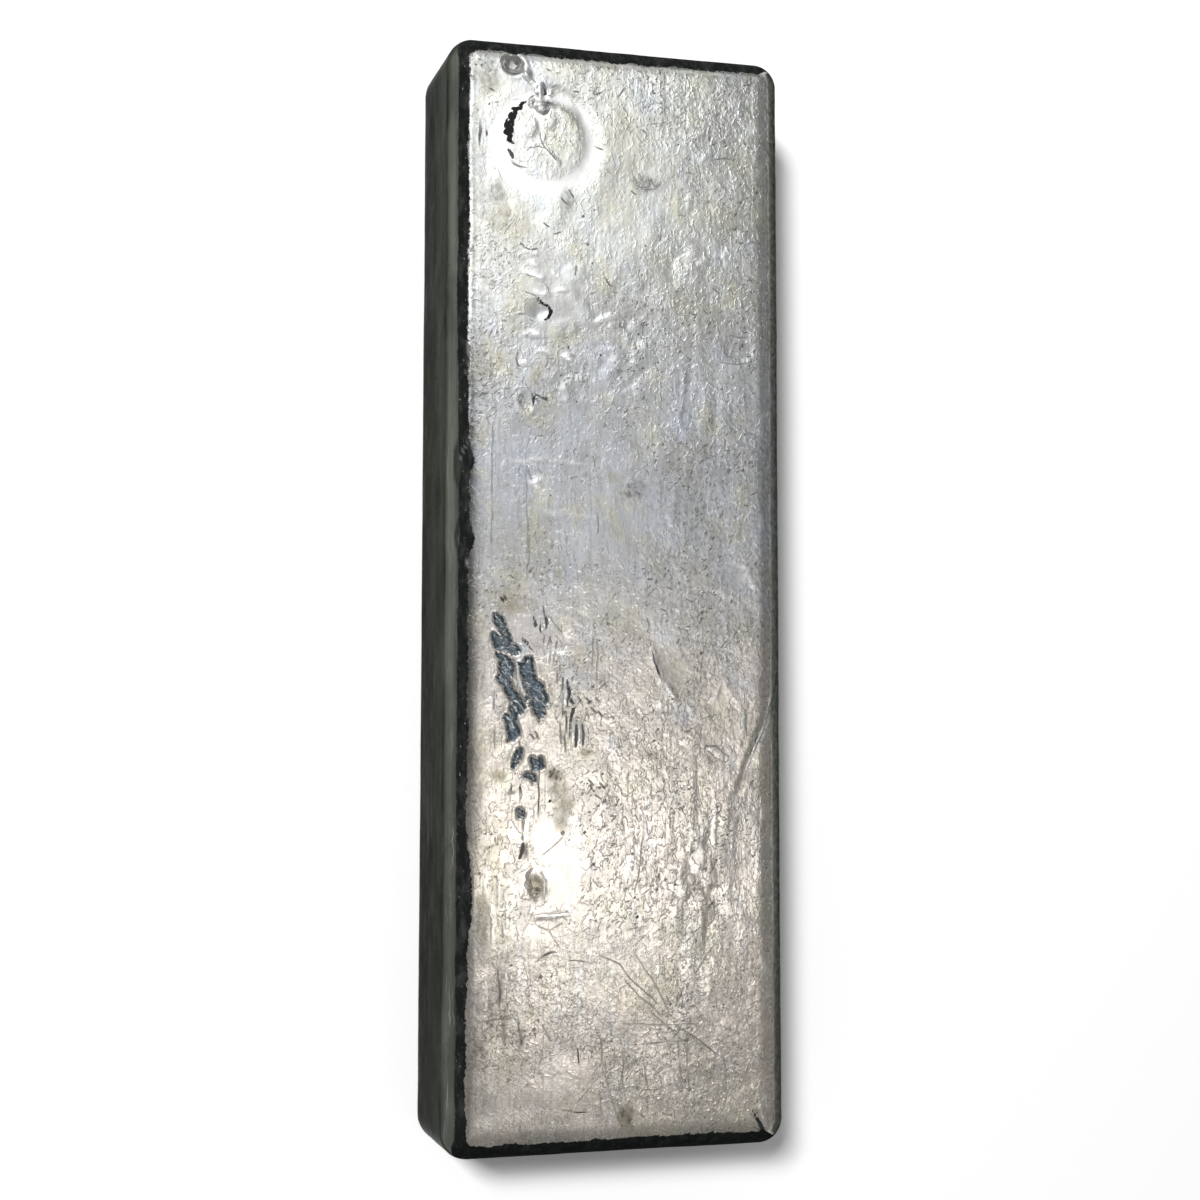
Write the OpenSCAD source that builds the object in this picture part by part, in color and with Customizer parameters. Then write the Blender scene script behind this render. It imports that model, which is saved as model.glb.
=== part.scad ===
// Poured silver bar, cast in an open mould and lying on the face that was the top of the pour.
// X runs across the bar, Y along it and Z up. The origin is the centre of the resting face.

/* [Bar] */
// Length at the foot, where the open mould was longest
bar_l = 191; // [150:1:260]
// Width at the foot
bar_w = 61.5; // [54:0.5:80]
// Thickness from the resting face to the mould face
bar_t = 26.5; // [18:0.5:36]
// Lean of the four walls, in degrees, that lets the bar drop out of its mould
draft = 3.5; // [1:0.5:6]

/* [Edges] */
// Radius of the four upright corners
corner_r = 4.25; // [3:0.25:7]
// Radius of the edge round the mould face
face_edge_r = 5.2; // [3.5:0.1:6.5]
// Radius of the edge round the foot, where the skin of the metal turned over
foot_edge_r = 2.3; // [1:0.1:4]

/* [Resting face] */
// Width of the flat rim that touches the floor
rim_w = 3.5; // [2:0.5:6]
// Width of the slope from the rim into the shrinkage dish
dish_slope_w = 11; // [6:0.5:14]
// Depth of the shrinkage dish
dish_depth = 0.6; // [0.3:0.1:2]

/* [Ring mark] */
// Centre of the ring, from the left side of the flat of the mould face
ring_from_left = 10.8; // [9.8:0.2:20]
// Centre of the ring, from the far end of the flat
ring_from_far = 12.6; // [12:0.2:40]
// Radius of the island inside the ring
ring_island_r = 6.6; // [4:0.1:7]
// Width of the trough round the island
ring_trough_w = 3; // [1.5:0.1:3.2]
// Depth of the trough
ring_depth = 0.7; // [0.3:0.05:1.5]
// Run of the island's steep wall, from its rim to the trough's floor
ring_wall_run = 0.25; // [0.1:0.05:0.6]
// Number of chips broken from the left of the island's rim
chip_count = 11; // [5:1:14]
// Radius of the largest chip
chip_r = 0.6; // [0.2:0.05:0.8]

/* [Blowholes] */
// Radius of the mouth of the bubble in the far left corner
bubble_mouth_r = 1.9; // [1:0.1:2]
// Radius of the bubble itself, which is undercut below its mouth
bubble_r = 2.05; // [2.05:0.05:3]
// Centre of the bubble, from the left side of the flat
bubble_from_left = 5.2; // [3:0.1:8]
// Centre of the bubble, from the far end of the flat
bubble_from_far = 0.3; // [0:0.1:0.6]
// Line of the row of blowholes, from the left side of the flat
row_from_left = 8.5; // [6:0.5:14]

/* [Scars] */
// Width of the gouge across the right edge, where it is widest
gouge_w = 1.5; // [0.6:0.1:2]
// Depth of that gouge
gouge_depth = 0.6; // [0.3:0.1:1.2]
// Width of the split in the near right corner, where it runs out
split_w = 0.9; // [0.4:0.1:1.4]
// Depth of that split
split_depth = 1.6; // [0.5:0.1:2.5]
// Radius of the ball that fits the dents in the left edge
dent_ball_r = 7; // [5:0.5:12]
// Width of the fold right of the middle, where the skin of the metal lapped over
fold_w = 1.1; // [0.4:0.1:1.6]
// Depth of that fold
fold_depth = 0.5; // [0.2:0.05:0.9]

/* [Hidden] */
// steps in each rounded corner of a section, in each rounded edge and in the dish's slope
corner_steps = 10;
edge_steps = 9;
foot_steps = 6;
dish_steps = 8;
trough_steps = 7;
// least radius that a section's corners shrink to, and the corner radius of the dish's floor
corner_min_r = 0.8;
dish_floor_r = 9;
// how far a cutter stands clear of the skin that it cuts
clear = 1;
// how far a groove goes on past the skin where it runs out
run_out = 1.5;
ball_fn = 48;
silver = [0.77, 0.77, 0.75];

// half width and half length of the flat of the mould face
flat_x = bar_w / 2 - edge_point(face_edge_r, bar_t - face_edge_r, 90)[0];
flat_y = bar_l / 2 - edge_point(face_edge_r, bar_t - face_edge_r, 90)[0];

// Blowholes in the row: [offset from the row's line, place along the bar, mouth radius, depth].
// A place along the bar is measured from the far end of the flat, or from the near end if under 0.
blowholes = [
    [1.2, 42, 2.1, 0.95],
    [-0.8, 50.5, 1.6, 0.35],
    [-0.7, 58, 1.5, 0.7],
    [0.4, 70, 1.8, 0.3],
    [-0.6, -45, 1.1, 0.8],
    [0, -41.8, 1.3, 0.9],
    [1.1, -39, 2, 1.3]
];

// Grooves on the left: [from the left at the start and the end, from the near end at both, width, depth]
left_grooves = [
    [16.4, 16.3, 66.8, 62.2, 0.7, 0.45],
    [17.6, 17.5, 66.2, 62.4, 0.5, 0.4],
    [10.1, 10.1, 61, 51.5, 0.35, 0.25],
    [10.2, 13.4, 27, 28.6, 0.6, 0.5]
];

// Dents in the left edge: [place along the bar from the far end of the flat, depth]
edge_dents = [[53, 0.5], [66.5, 0.9], [82, 1.3]];

// Places on the flat of the mould face, from its sides and ends
function left(d) = -flat_x + d;
function right(d) = flat_x - d;
function far_end(d) = flat_y - d;
function near_end(d) = -flat_y + d;
function along(d) = d > 0 ? far_end(d) : near_end(-d);

// How far a wall has leaned in at height z
function lean(z) = z * tan(draft);

// Inset and height of a point on an edge of radius r whose centre is at height z, at angle a above level
function edge_point(r, z, a) = [lean(z) + r / cos(draft) - r * cos(a), z + r * sin(a)];

// Height of the skin at a point of the plan, on the flat or on the rounded edge beside it
function skin_z(p) =
    let (out = norm([max(abs(p[0]) - flat_x, 0), max(abs(p[1]) - flat_y, 0)]))
    bar_t - face_edge_r + sqrt(max(face_edge_r * face_edge_r - out * out, 0));

// Outline of a rounded rectangle, anticlockwise
function outline(w, l, r) = [
    for (c = [[1, 1, 0], [-1, 1, 90], [-1, -1, 180], [1, -1, 270]], i = [0:corner_steps])
        let (a = c[2] + 90 * i / corner_steps)
        [c[0] * (w / 2 - r) + r * cos(a), c[1] * (l / 2 - r) + r * sin(a)]
];

// One level section of the bar, from [inset, height, corner radius]
function section(s) = [for (p = outline(bar_w - 2 * s[0], bar_l - 2 * s[0], s[2])) [p[0], p[1], s[1]]];

// Edge point with the corner radius of its section: the corners tighten where the edges turn in
function edge_section(p) = [p[0], p[1], max(corner_r - p[0] + lean(p[1]), corner_min_r)];

// Sections from the floor of the dish, out to the foot, up the walls and in to the mould face
function dish_sections() =
    let (rim_inset = edge_point(foot_edge_r, foot_edge_r, -90)[0] + rim_w)
    [for (i = [dish_steps:-1:0])
        let (t = i / dish_steps)
        [
            rim_inset + dish_slope_w * t,
            dish_depth * (1 - cos(180 * t)) / 2,
            corner_min_r + (dish_floor_r - corner_min_r) * t
        ]];
function foot_sections() = [
    for (i = [0:foot_steps])
        edge_section(edge_point(foot_edge_r, foot_edge_r, -90 + (90 + draft) * i / foot_steps))
];
function face_sections() = [
    for (i = [0:edge_steps])
        edge_section(edge_point(face_edge_r, bar_t - face_edge_r, draft + (90 - draft) * i / edge_steps))
];

// Skin through a list of rings with as many points each, anticlockwise seen from the last ring
module loft(rings) {
    n = len(rings[0]);
    m = len(rings);
    first = [for (i = [0:n - 1]) i];
    last = [for (i = [n - 1:-1:0]) (m - 1) * n + i];
    sides = [
        for (k = [0:m - 2], i = [0:n - 1], half = [0, 1])
            let (a = k * n + i, b = k * n + (i + 1) % n)
            half == 0 ? [a, b + n, b] : [a, a + n, b + n]
    ];
    polyhedron(points = [for (r = rings, p = r) p], faces = concat([first], sides, [last]), convexity = 4);
}

module bar_body() {
    loft([for (s = concat(dish_sections(), foot_sections(), face_sections())) section(s)]);
}

// V groove in the skin along a path of [x, y, share], where share scales its width and depth
module groove(path, w, depth) {
    n = len(path);
    loft([
        for (i = [0:n - 1])
            let (
                p = path[i],
                ahead = path[min(i + 1, n - 1)] - path[max(i - 1, 0)],
                side = [-ahead[1], ahead[0]] / norm([ahead[0], ahead[1]]),
                half = side * p[2] * w / 2 * (1 + clear / (depth * p[2])),
                z = skin_z(p)
            )
            [
                [p[0], p[1], z - depth * p[2]],
                [p[0] + half[0], p[1] + half[1], z + clear],
                [p[0] - half[0], p[1] - half[1], z + clear]
            ]
    ]);
}

// Ball that leaves a round hollow of this mouth radius and depth in a level face at z = 0
module hollow(mouth_r, depth) {
    ball_r = (mouth_r * mouth_r + depth * depth) / (2 * depth);
    translate([0, 0, ball_r - depth])
        sphere(r = ball_r, $fn = ball_fn);
}

// Trough round the island, with a steep inner wall and an outer side that flattens outwards
module ring_trough() {
    floor_r = ring_island_r + ring_wall_run;
    outer_w = ring_trough_w - ring_wall_run;
    rotate_extrude($fn = 2 * ball_fn)
        polygon(concat(
            [[ring_island_r, clear], [ring_island_r, 0]],
            [for (i = [0:trough_steps])
                let (t = i / trough_steps)
                [floor_r + outer_w * t, -ring_depth * (1 + cos(180 * t)) / 2]],
            [[floor_r + outer_w, clear]]
        ));
}

// Chips broken out of the island's rim, on its left
module rim_chips() {
    first_angle = 92;
    last_angle = 222;
    for (i = [0:chip_count - 1]) {
        // the sine of a long odd step makes neighbours differ in size
        r = chip_r * (0.75 + 0.25 * sin(i * 137));
        rotate([0, 0, first_angle + (last_angle - first_angle) * i / (chip_count - 1)])
            translate([ring_island_r + ring_wall_run / 2, 0, -ring_depth * 0.9])
                cylinder(r = r, h = ring_depth + clear, $fn = 24);
    }
}

module ring_mark() {
    translate([left(ring_from_left), far_end(ring_from_far), bar_t]) {
        ring_trough();
        rim_chips();
    }
}

// Undercut bubble whose mouth is narrower than itself
module bubble() {
    sunk = sqrt(bubble_r * bubble_r - bubble_mouth_r * bubble_mouth_r);
    translate([left(bubble_from_left), far_end(bubble_from_far), bar_t - sunk])
        sphere(r = bubble_r, $fn = ball_fn);
}

module blowhole_row() {
    for (b = blowholes)
        translate([left(row_from_left + b[0]), along(b[1]), bar_t])
            hollow(b[2], b[3]);
}

module left_scratches() {
    for (g = left_grooves) {
        start = [left(g[0]), near_end(g[2]), 0.2];
        end = [left(g[1]), near_end(g[3]), 0.2];
        middle = (start + end) / 2 + [0, 0, 0.8];
        groove([start, middle, end], g[4], g[5]);
    }
}

// Gouge that starts as a scratch on the face and widens until it runs out over the right edge
module edge_gouge() {
    groove([
        [right(4), near_end(54.5), 0.12],
        [right(1.9), near_end(60), 0.4],
        [right(0.2), near_end(65), 0.7],
        [right(-1.6), near_end(68.4), 0.9],
        [right(-3.2), near_end(70.6), 1],
        [right(-4.6), near_end(72.4), 1],
        [right(-face_edge_r - run_out), near_end(74.2), 1]
    ], gouge_w, gouge_depth);
}

// Split that opens towards the near right corner
module corner_split() {
    groove([
        [right(1.4), near_end(1.6), 0.12],
        [right(0.2), near_end(-0.4), 0.5],
        [right(-1), near_end(-2.4), 0.85],
        [right(-2), near_end(-4.2), 1],
        [right(-3), near_end(-face_edge_r - run_out), 1]
    ], split_w, split_depth);
}

// Dents whose balls reach the given depth into the rounded left edge, along its diagonal
module edge_dents() {
    for (e = edge_dents) {
        reach = face_edge_r - e[1] + dent_ball_r;
        translate([left(-reach * sin(45)), far_end(e[0]), bar_t - face_edge_r + reach * cos(45)])
            sphere(r = dent_ball_r, $fn = ball_fn);
    }
}

// Curved fold, deepest in its middle
module lap_fold() {
    sweep_r = 15;
    first_angle = 180;
    last_angle = 212;
    steps = 6;
    groove([
        for (i = [0:steps])
            let (t = i / steps, a = first_angle + (last_angle - first_angle) * t)
            [right(3.9) + sweep_r * cos(a), near_end(79.4) + sweep_r * sin(a), 0.15 + 0.85 * sin(180 * t)]
    ], fold_w, fold_depth);
}

module ingot() {
    color(silver)
        difference() {
            bar_body();
            ring_mark();
            bubble();
            blowhole_row();
            left_scratches();
            edge_gouge();
            corner_split();
            edge_dents();
            lap_fold();
        }
}

ingot();
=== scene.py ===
"""A poured silver bar: its cast skin and tarnish, a white floor, soft studio light and the camera."""

import math

import bpy
import numpy as np
from mathutils import Matrix, Vector


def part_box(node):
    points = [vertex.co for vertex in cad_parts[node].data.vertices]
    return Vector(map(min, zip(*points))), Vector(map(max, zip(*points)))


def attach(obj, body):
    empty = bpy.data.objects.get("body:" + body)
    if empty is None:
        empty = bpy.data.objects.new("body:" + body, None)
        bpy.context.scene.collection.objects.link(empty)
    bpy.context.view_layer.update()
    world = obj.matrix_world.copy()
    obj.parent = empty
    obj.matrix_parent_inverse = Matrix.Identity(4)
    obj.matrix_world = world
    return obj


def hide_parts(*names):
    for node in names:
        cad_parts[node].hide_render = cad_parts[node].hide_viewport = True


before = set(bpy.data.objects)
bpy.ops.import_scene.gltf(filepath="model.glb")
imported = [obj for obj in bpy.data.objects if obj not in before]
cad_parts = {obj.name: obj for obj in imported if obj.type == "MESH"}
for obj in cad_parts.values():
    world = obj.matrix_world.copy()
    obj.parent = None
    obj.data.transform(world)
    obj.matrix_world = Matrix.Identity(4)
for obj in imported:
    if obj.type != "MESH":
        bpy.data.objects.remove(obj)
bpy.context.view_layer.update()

# Every length below is in millimetres, in the bar's own frame, until the meshes are made
MM = 0.001

# Form of the bar, as in the solid that the skin stands for
CAD_LOW, CAD_HIGH = (np.array(corner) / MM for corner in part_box("ingot"))
DRAFT = math.radians(3.5)
CORNER_R = 4.25
FACE_EDGE_R = 5.2
FOOT_EDGE_R = 2.3
RIM_W = 3.5
DISH_SLOPE_W = 11.0
DISH_DEPTH = 0.6
DISH_FLOOR_R = 9.0
BAR_T = CAD_HIGH[2]


def lean(z):
    """How far a wall has leaned in at height z."""
    return z * math.tan(DRAFT)


def edge_point(r, z, a):
    """Inset and height of a point on an edge of radius r centred at height z, at angle a above level."""
    return lean(z) + r / math.cos(DRAFT) - r * math.cos(a), z + r * math.sin(a)


# Half sizes at the foot, were its edge sharp, and half sizes of the flat of the mould face
FOOT_HALF = CAD_HIGH[:2] + edge_point(FOOT_EDGE_R, FOOT_EDGE_R, 0)[0]
FLAT_HALF = FOOT_HALF - edge_point(FACE_EDGE_R, BAR_T - FACE_EDGE_R, math.pi / 2)[0]

# Cells of the mesh: across and along the mould face, down its edge, its walls, the foot and the dish
CELLS_X = 124
CELLS_Y = 440
EDGE_RINGS = 16
WALL_RINGS = 20
FOOT_RINGS = 6
DISH_RINGS = 6
# The columns are finer by this share on the left of the mould face, where most of the marks are
LEFT_FINER = 0.16
# The flat of the mould face lies this far under the solid's, so that its lumps stay inside the solid
FLAT_SUNK = 0.14

# Random values that all the noise is made of, and how far each seed moves the noise over them
LATTICE_SIZE = 256
LATTICE = np.random.default_rng(11).random((LATTICE_SIZE, LATTICE_SIZE))
SEED_MOVE = 17.3, 41.9


def smooth(low, high, value):
    """0 below low, 1 above high, and a smooth step between them."""
    t = np.clip((value - low) / (high - low), 0, 1)
    return t * t * (3 - 2 * t)


def noise(x, y, size, seed=0):
    """Smooth noise from -1 to 1 whose lumps are about size across."""
    x = x / size + SEED_MOVE[0] * seed
    y = y / size + SEED_MOVE[1] * seed
    i, j = np.floor(x).astype(int), np.floor(y).astype(int)
    s, t = smooth(0, 1, x - i), smooth(0, 1, y - j)
    left, right = i % LATTICE_SIZE, (i + 1) % LATTICE_SIZE
    near, far = (
        LATTICE[left, row % LATTICE_SIZE] * (1 - s) + LATTICE[right, row % LATTICE_SIZE] * s
        for row in (j, j + 1)
    )
    return 2 * (near * (1 - t) + far * t) - 1


def rough(x, y, size, seed=0, octaves=3):
    """Noise with finer noise added to it."""
    return sum(noise(x, y, size / 2**k, seed + k) / 2**k for k in range(octaves)) / 1.5


# Mesh of the skin: rings from the mould face down its edge and walls and under the foot, and two grids

def side_fractions(cells, finer):
    """Places along one side, from 0 to 1, with finer cells at its start."""
    t = np.arange(cells + 1) / cells
    return t + finer * t * (t - 1)


def rounded_rectangle(half, r, step):
    """Plan points and plan normals round a rounded rectangle, from its near right corner by the far side."""
    across, along = side_fractions(CELLS_X, LEFT_FINER), side_fractions(CELLS_Y, 0)
    points, normals = [], []
    for side, places in enumerate((along, 1 - across[::-1], 1 - along[::-1], across)):
        out, run = half if side % 2 == 0 else half[::-1]
        arc, straight = r * math.pi / 4, 2 * (run - r)
        s = places[:-1:step] * (2 * arc + straight)
        turn = (np.minimum(s - arc, 0) + np.maximum(s - arc - straight, 0)) / max(r, 1e-9)
        n = out - r + r * np.cos(turn)
        t = np.clip(s - arc, 0, straight) - run + r + r * np.sin(turn)
        c, k = (1, 0, -1, 0)[side], (0, 1, 0, -1)[side]
        points.append(np.stack([c * n - k * t, k * n + c * t], 1))
        turn = np.clip(turn, -math.pi / 4, math.pi / 4) + side * math.pi / 2
        normals.append(np.stack([np.cos(turn), np.sin(turn)], 1))
    return np.concatenate(points), np.concatenate(normals)


def edge_layers():
    """Layers of the skin down the rounded edge: inset, height, corner radius, angle of the normal, step."""
    for a in np.linspace(math.pi / 2, DRAFT, EDGE_RINGS + 1):
        inset, z = edge_point(FACE_EDGE_R, BAR_T - FACE_EDGE_R, a)
        yield inset, z, max(CORNER_R - inset + lean(z), 0.0), a, 1


def wall_layers():
    """Layers down the walls, with half as many vertices."""
    top = edge_point(FACE_EDGE_R, BAR_T - FACE_EDGE_R, DRAFT)[1]
    foot = edge_point(FOOT_EDGE_R, FOOT_EDGE_R, DRAFT)[1]
    for z in np.linspace(top, foot, WALL_RINGS + 1)[1:]:
        yield lean(z), z, CORNER_R, DRAFT, 2


def foot_layers():
    """Layers round the foot's edge."""
    for a in np.linspace(DRAFT, -math.pi / 2, FOOT_RINGS + 1)[1:]:
        inset, z = edge_point(FOOT_EDGE_R, FOOT_EDGE_R, a)
        yield inset, z, CORNER_R - inset + lean(z), a, 2


def dish_layers():
    """Layers of the flat rim under the bar and of the slope of its dish."""
    rim_inset = edge_point(FOOT_EDGE_R, FOOT_EDGE_R, -math.pi / 2)[0]
    rim_r = CORNER_R - rim_inset
    yield rim_inset + RIM_W / 2, 0.0, rim_r, -math.pi / 2, 4
    for t in np.linspace(0, 1, DISH_RINGS + 1):
        z = DISH_DEPTH * (1 - math.cos(math.pi * t)) / 2
        yield rim_inset + RIM_W + DISH_SLOPE_W * t, z, rim_r + (DISH_FLOOR_R - rim_r) * t, -math.pi / 2, 4


class Skin:
    """Rows of the skin's vertices: place, normal, unrolled place, which way is out, how far down."""

    def __init__(self):
        self.columns = []
        self.faces = []

    def add(self, places, normals, unrolled, side, down):
        """Adds vertices and returns their numbers."""
        first = sum(len(rows) for rows in self.columns)
        self.columns.append(np.column_stack([places, normals, unrolled, side, np.full(len(places), down)]))
        return np.arange(first, first + len(places))

    def join(self, upper, lower):
        """Faces between a ring and the next one down the skin, which has as many vertices or half as many."""
        c, d = np.roll(lower, -1), lower
        if len(upper) == len(lower):
            self.faces.extend(np.stack([d, c, np.roll(upper, -1), upper], 1).tolist())
            return
        a, m, b = upper[0::2], upper[1::2], np.roll(upper, -2)[0::2]
        for triangle in ([a, d, m], [d, c, m], [m, c, b]):
            self.faces.extend(np.stack(triangle, 1).tolist())

    def fill(self, ring, step, up, down):
        """Fills a ring with a grid whose outer vertices are the ring's own, facing up (1) or down (-1)."""
        nx, ny = CELLS_X // step, CELLS_Y // step
        right, far, left, near = np.split(ring, np.cumsum([ny, nx, ny]))
        grid = np.zeros((nx + 1, ny + 1), int)
        grid[nx, :-1], grid[1:, ny], grid[0, 1:], grid[:-1, 0] = right, far[::-1], left[::-1], near
        edge = np.concatenate(self.columns)[:, :3][grid]
        u = side_fractions(nx, LEFT_FINER)[1:-1, None, None]
        v = side_fractions(ny, 0)[None, 1:-1, None]
        # a surface stretched between the four sides
        inner = (
            (1 - v) * edge[1:-1, :1] + v * edge[1:-1, -1:]
            + (1 - u) * edge[:1, 1:-1] + u * edge[-1:, 1:-1]
            - (1 - u) * (1 - v) * edge[0, 0] - u * (1 - v) * edge[-1, 0]
            - (1 - u) * v * edge[0, -1] - u * v * edge[-1, -1]
        ).reshape(-1, 3)
        new = self.add(inner, np.tile([0.0, 0.0, up], (len(inner), 1)), inner[:, :2], 0 * inner[:, :2], down)
        grid[1:-1, 1:-1] = new.reshape(nx - 1, ny - 1)
        quads = np.stack([grid[:-1, :-1], grid[1:, :-1], grid[1:, 1:], grid[:-1, 1:]], -1).reshape(-1, 4)
        self.faces.extend((quads if up > 0 else quads[:, ::-1]).tolist())


def build_skin():
    """Columns of numbers of all the skin's vertices, and its faces."""
    skin = Skin()
    layers = [*edge_layers(), *wall_layers(), *foot_layers(), *dish_layers()]
    ring, down, last = None, 0.0, layers[0]
    for layer in layers:
        inset, z, r, a, step = layer
        down += math.hypot(inset - last[0], z - last[1])
        plan, side = rounded_rectangle(tuple(FOOT_HALF - inset), r, step)
        out = FOOT_HALF[0] - inset - FLAT_HALF[0]
        places = np.column_stack([plan, np.full(len(plan), z)])
        normals = np.column_stack([side * math.cos(a), np.full(len(plan), math.sin(a))])
        new = skin.add(places, normals, plan + side * (down - out), side, down)
        if ring is None:
            first = new
        else:
            skin.join(ring, new)
        ring, last = new, layer
    skin.fill(ring, layers[-1][4], -1.0, down)
    skin.fill(first, layers[0][4], 1.0, 0.0)
    return np.concatenate(skin.columns), skin.faces


columns, faces = build_skin()
PLACES, NORMALS, SIDE, DOWN = columns[:, :3], columns[:, 3:6], columns[:, 8:10], columns[:, 10]
# Places on the skin as if it were unrolled onto the plane of the mould face
X, Y = columns[:, 6], columns[:, 7]
# The edge ends and the wall begins this far down the skin, and the foot begins this far down
EDGE_END = FACE_EDGE_R * (math.pi / 2 - DRAFT)
WALL_END = EDGE_END + (BAR_T - FACE_EDGE_R - FOOT_EDGE_R) / math.cos(DRAFT)
ON_FACE = 1 - smooth(EDGE_END * 0.75, EDGE_END, DOWN)

# Ragged places: some marks are drawn at places that noise has shifted a little
RAG_X = X + 0.25 * rough(X, Y, 1.6, 3)
RAG_Y = Y + 0.25 * rough(X, Y, 1.6, 7)
# Cracks wander more slowly, and fade here and there
CRACK_X = X + 0.3 * rough(X, Y, 4, 13, 3)
CRACK_Y = Y + 0.3 * rough(X, Y, 4, 17, 3)
CRACK_SHARE = np.clip(0.82 + 1.0 * rough(X, Y, 1.5, 19, 2), 0.15, 1)


# Marks on the skin. A path is a row of numbers, x and y in turn, and an oval is a row of its middle's x
# and y, its half width, its half length and, where it is turned, its turn in degrees

def to_path(x, y, path):
    """Signed distance from a path of straight stretches, and the place along it from 0 to 1."""
    path = np.reshape(path, (-1, 2)).astype(float)
    lengths = np.hypot(*np.diff(path, axis=0).T)
    starts = np.concatenate([[0], np.cumsum(lengths)])
    best, along = np.full(x.shape, 1e9), np.zeros(x.shape)
    for k, (a, b) in enumerate(zip(path, path[1:])):
        d = (b - a) / lengths[k]
        s = np.clip((x - a[0]) * d[0] + (y - a[1]) * d[1], 0, lengths[k])
        gap = np.hypot(x - a[0] - s * d[0], y - a[1] - s * d[1])
        side = np.sign((x - a[0]) * d[1] - (y - a[1]) * d[0] + 1e-12)
        nearer = gap < np.abs(best)
        best = np.where(nearer, gap * side, best)
        along = np.where(nearer, (starts[k] + s) / starts[-1], along)
    return best, along


def to_oval(x, y, oval):
    """How far out a place lies in an oval: 1 on its outline."""
    cx, cy, rx, ry, turn = (*oval, 0)[:5]
    c, s = math.cos(math.radians(turn)), math.sin(math.radians(turn))
    dx, dy = x - cx, y - cy
    return np.hypot((c * dx + s * dy) / rx, (c * dy - s * dx) / ry)


def arc(x, y, r, start, end, count=7):
    """Path along an arc, from one angle to another."""
    angles = np.radians(np.linspace(start, end, count))
    return [value for a in angles for value in (x + r * math.cos(a), y + r * math.sin(a))]


def evenly(values, along):
    """Values that change evenly along a path, from one number or several."""
    return np.interp(along, np.linspace(0, 1, np.size(values)), np.atleast_1d(values))


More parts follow.
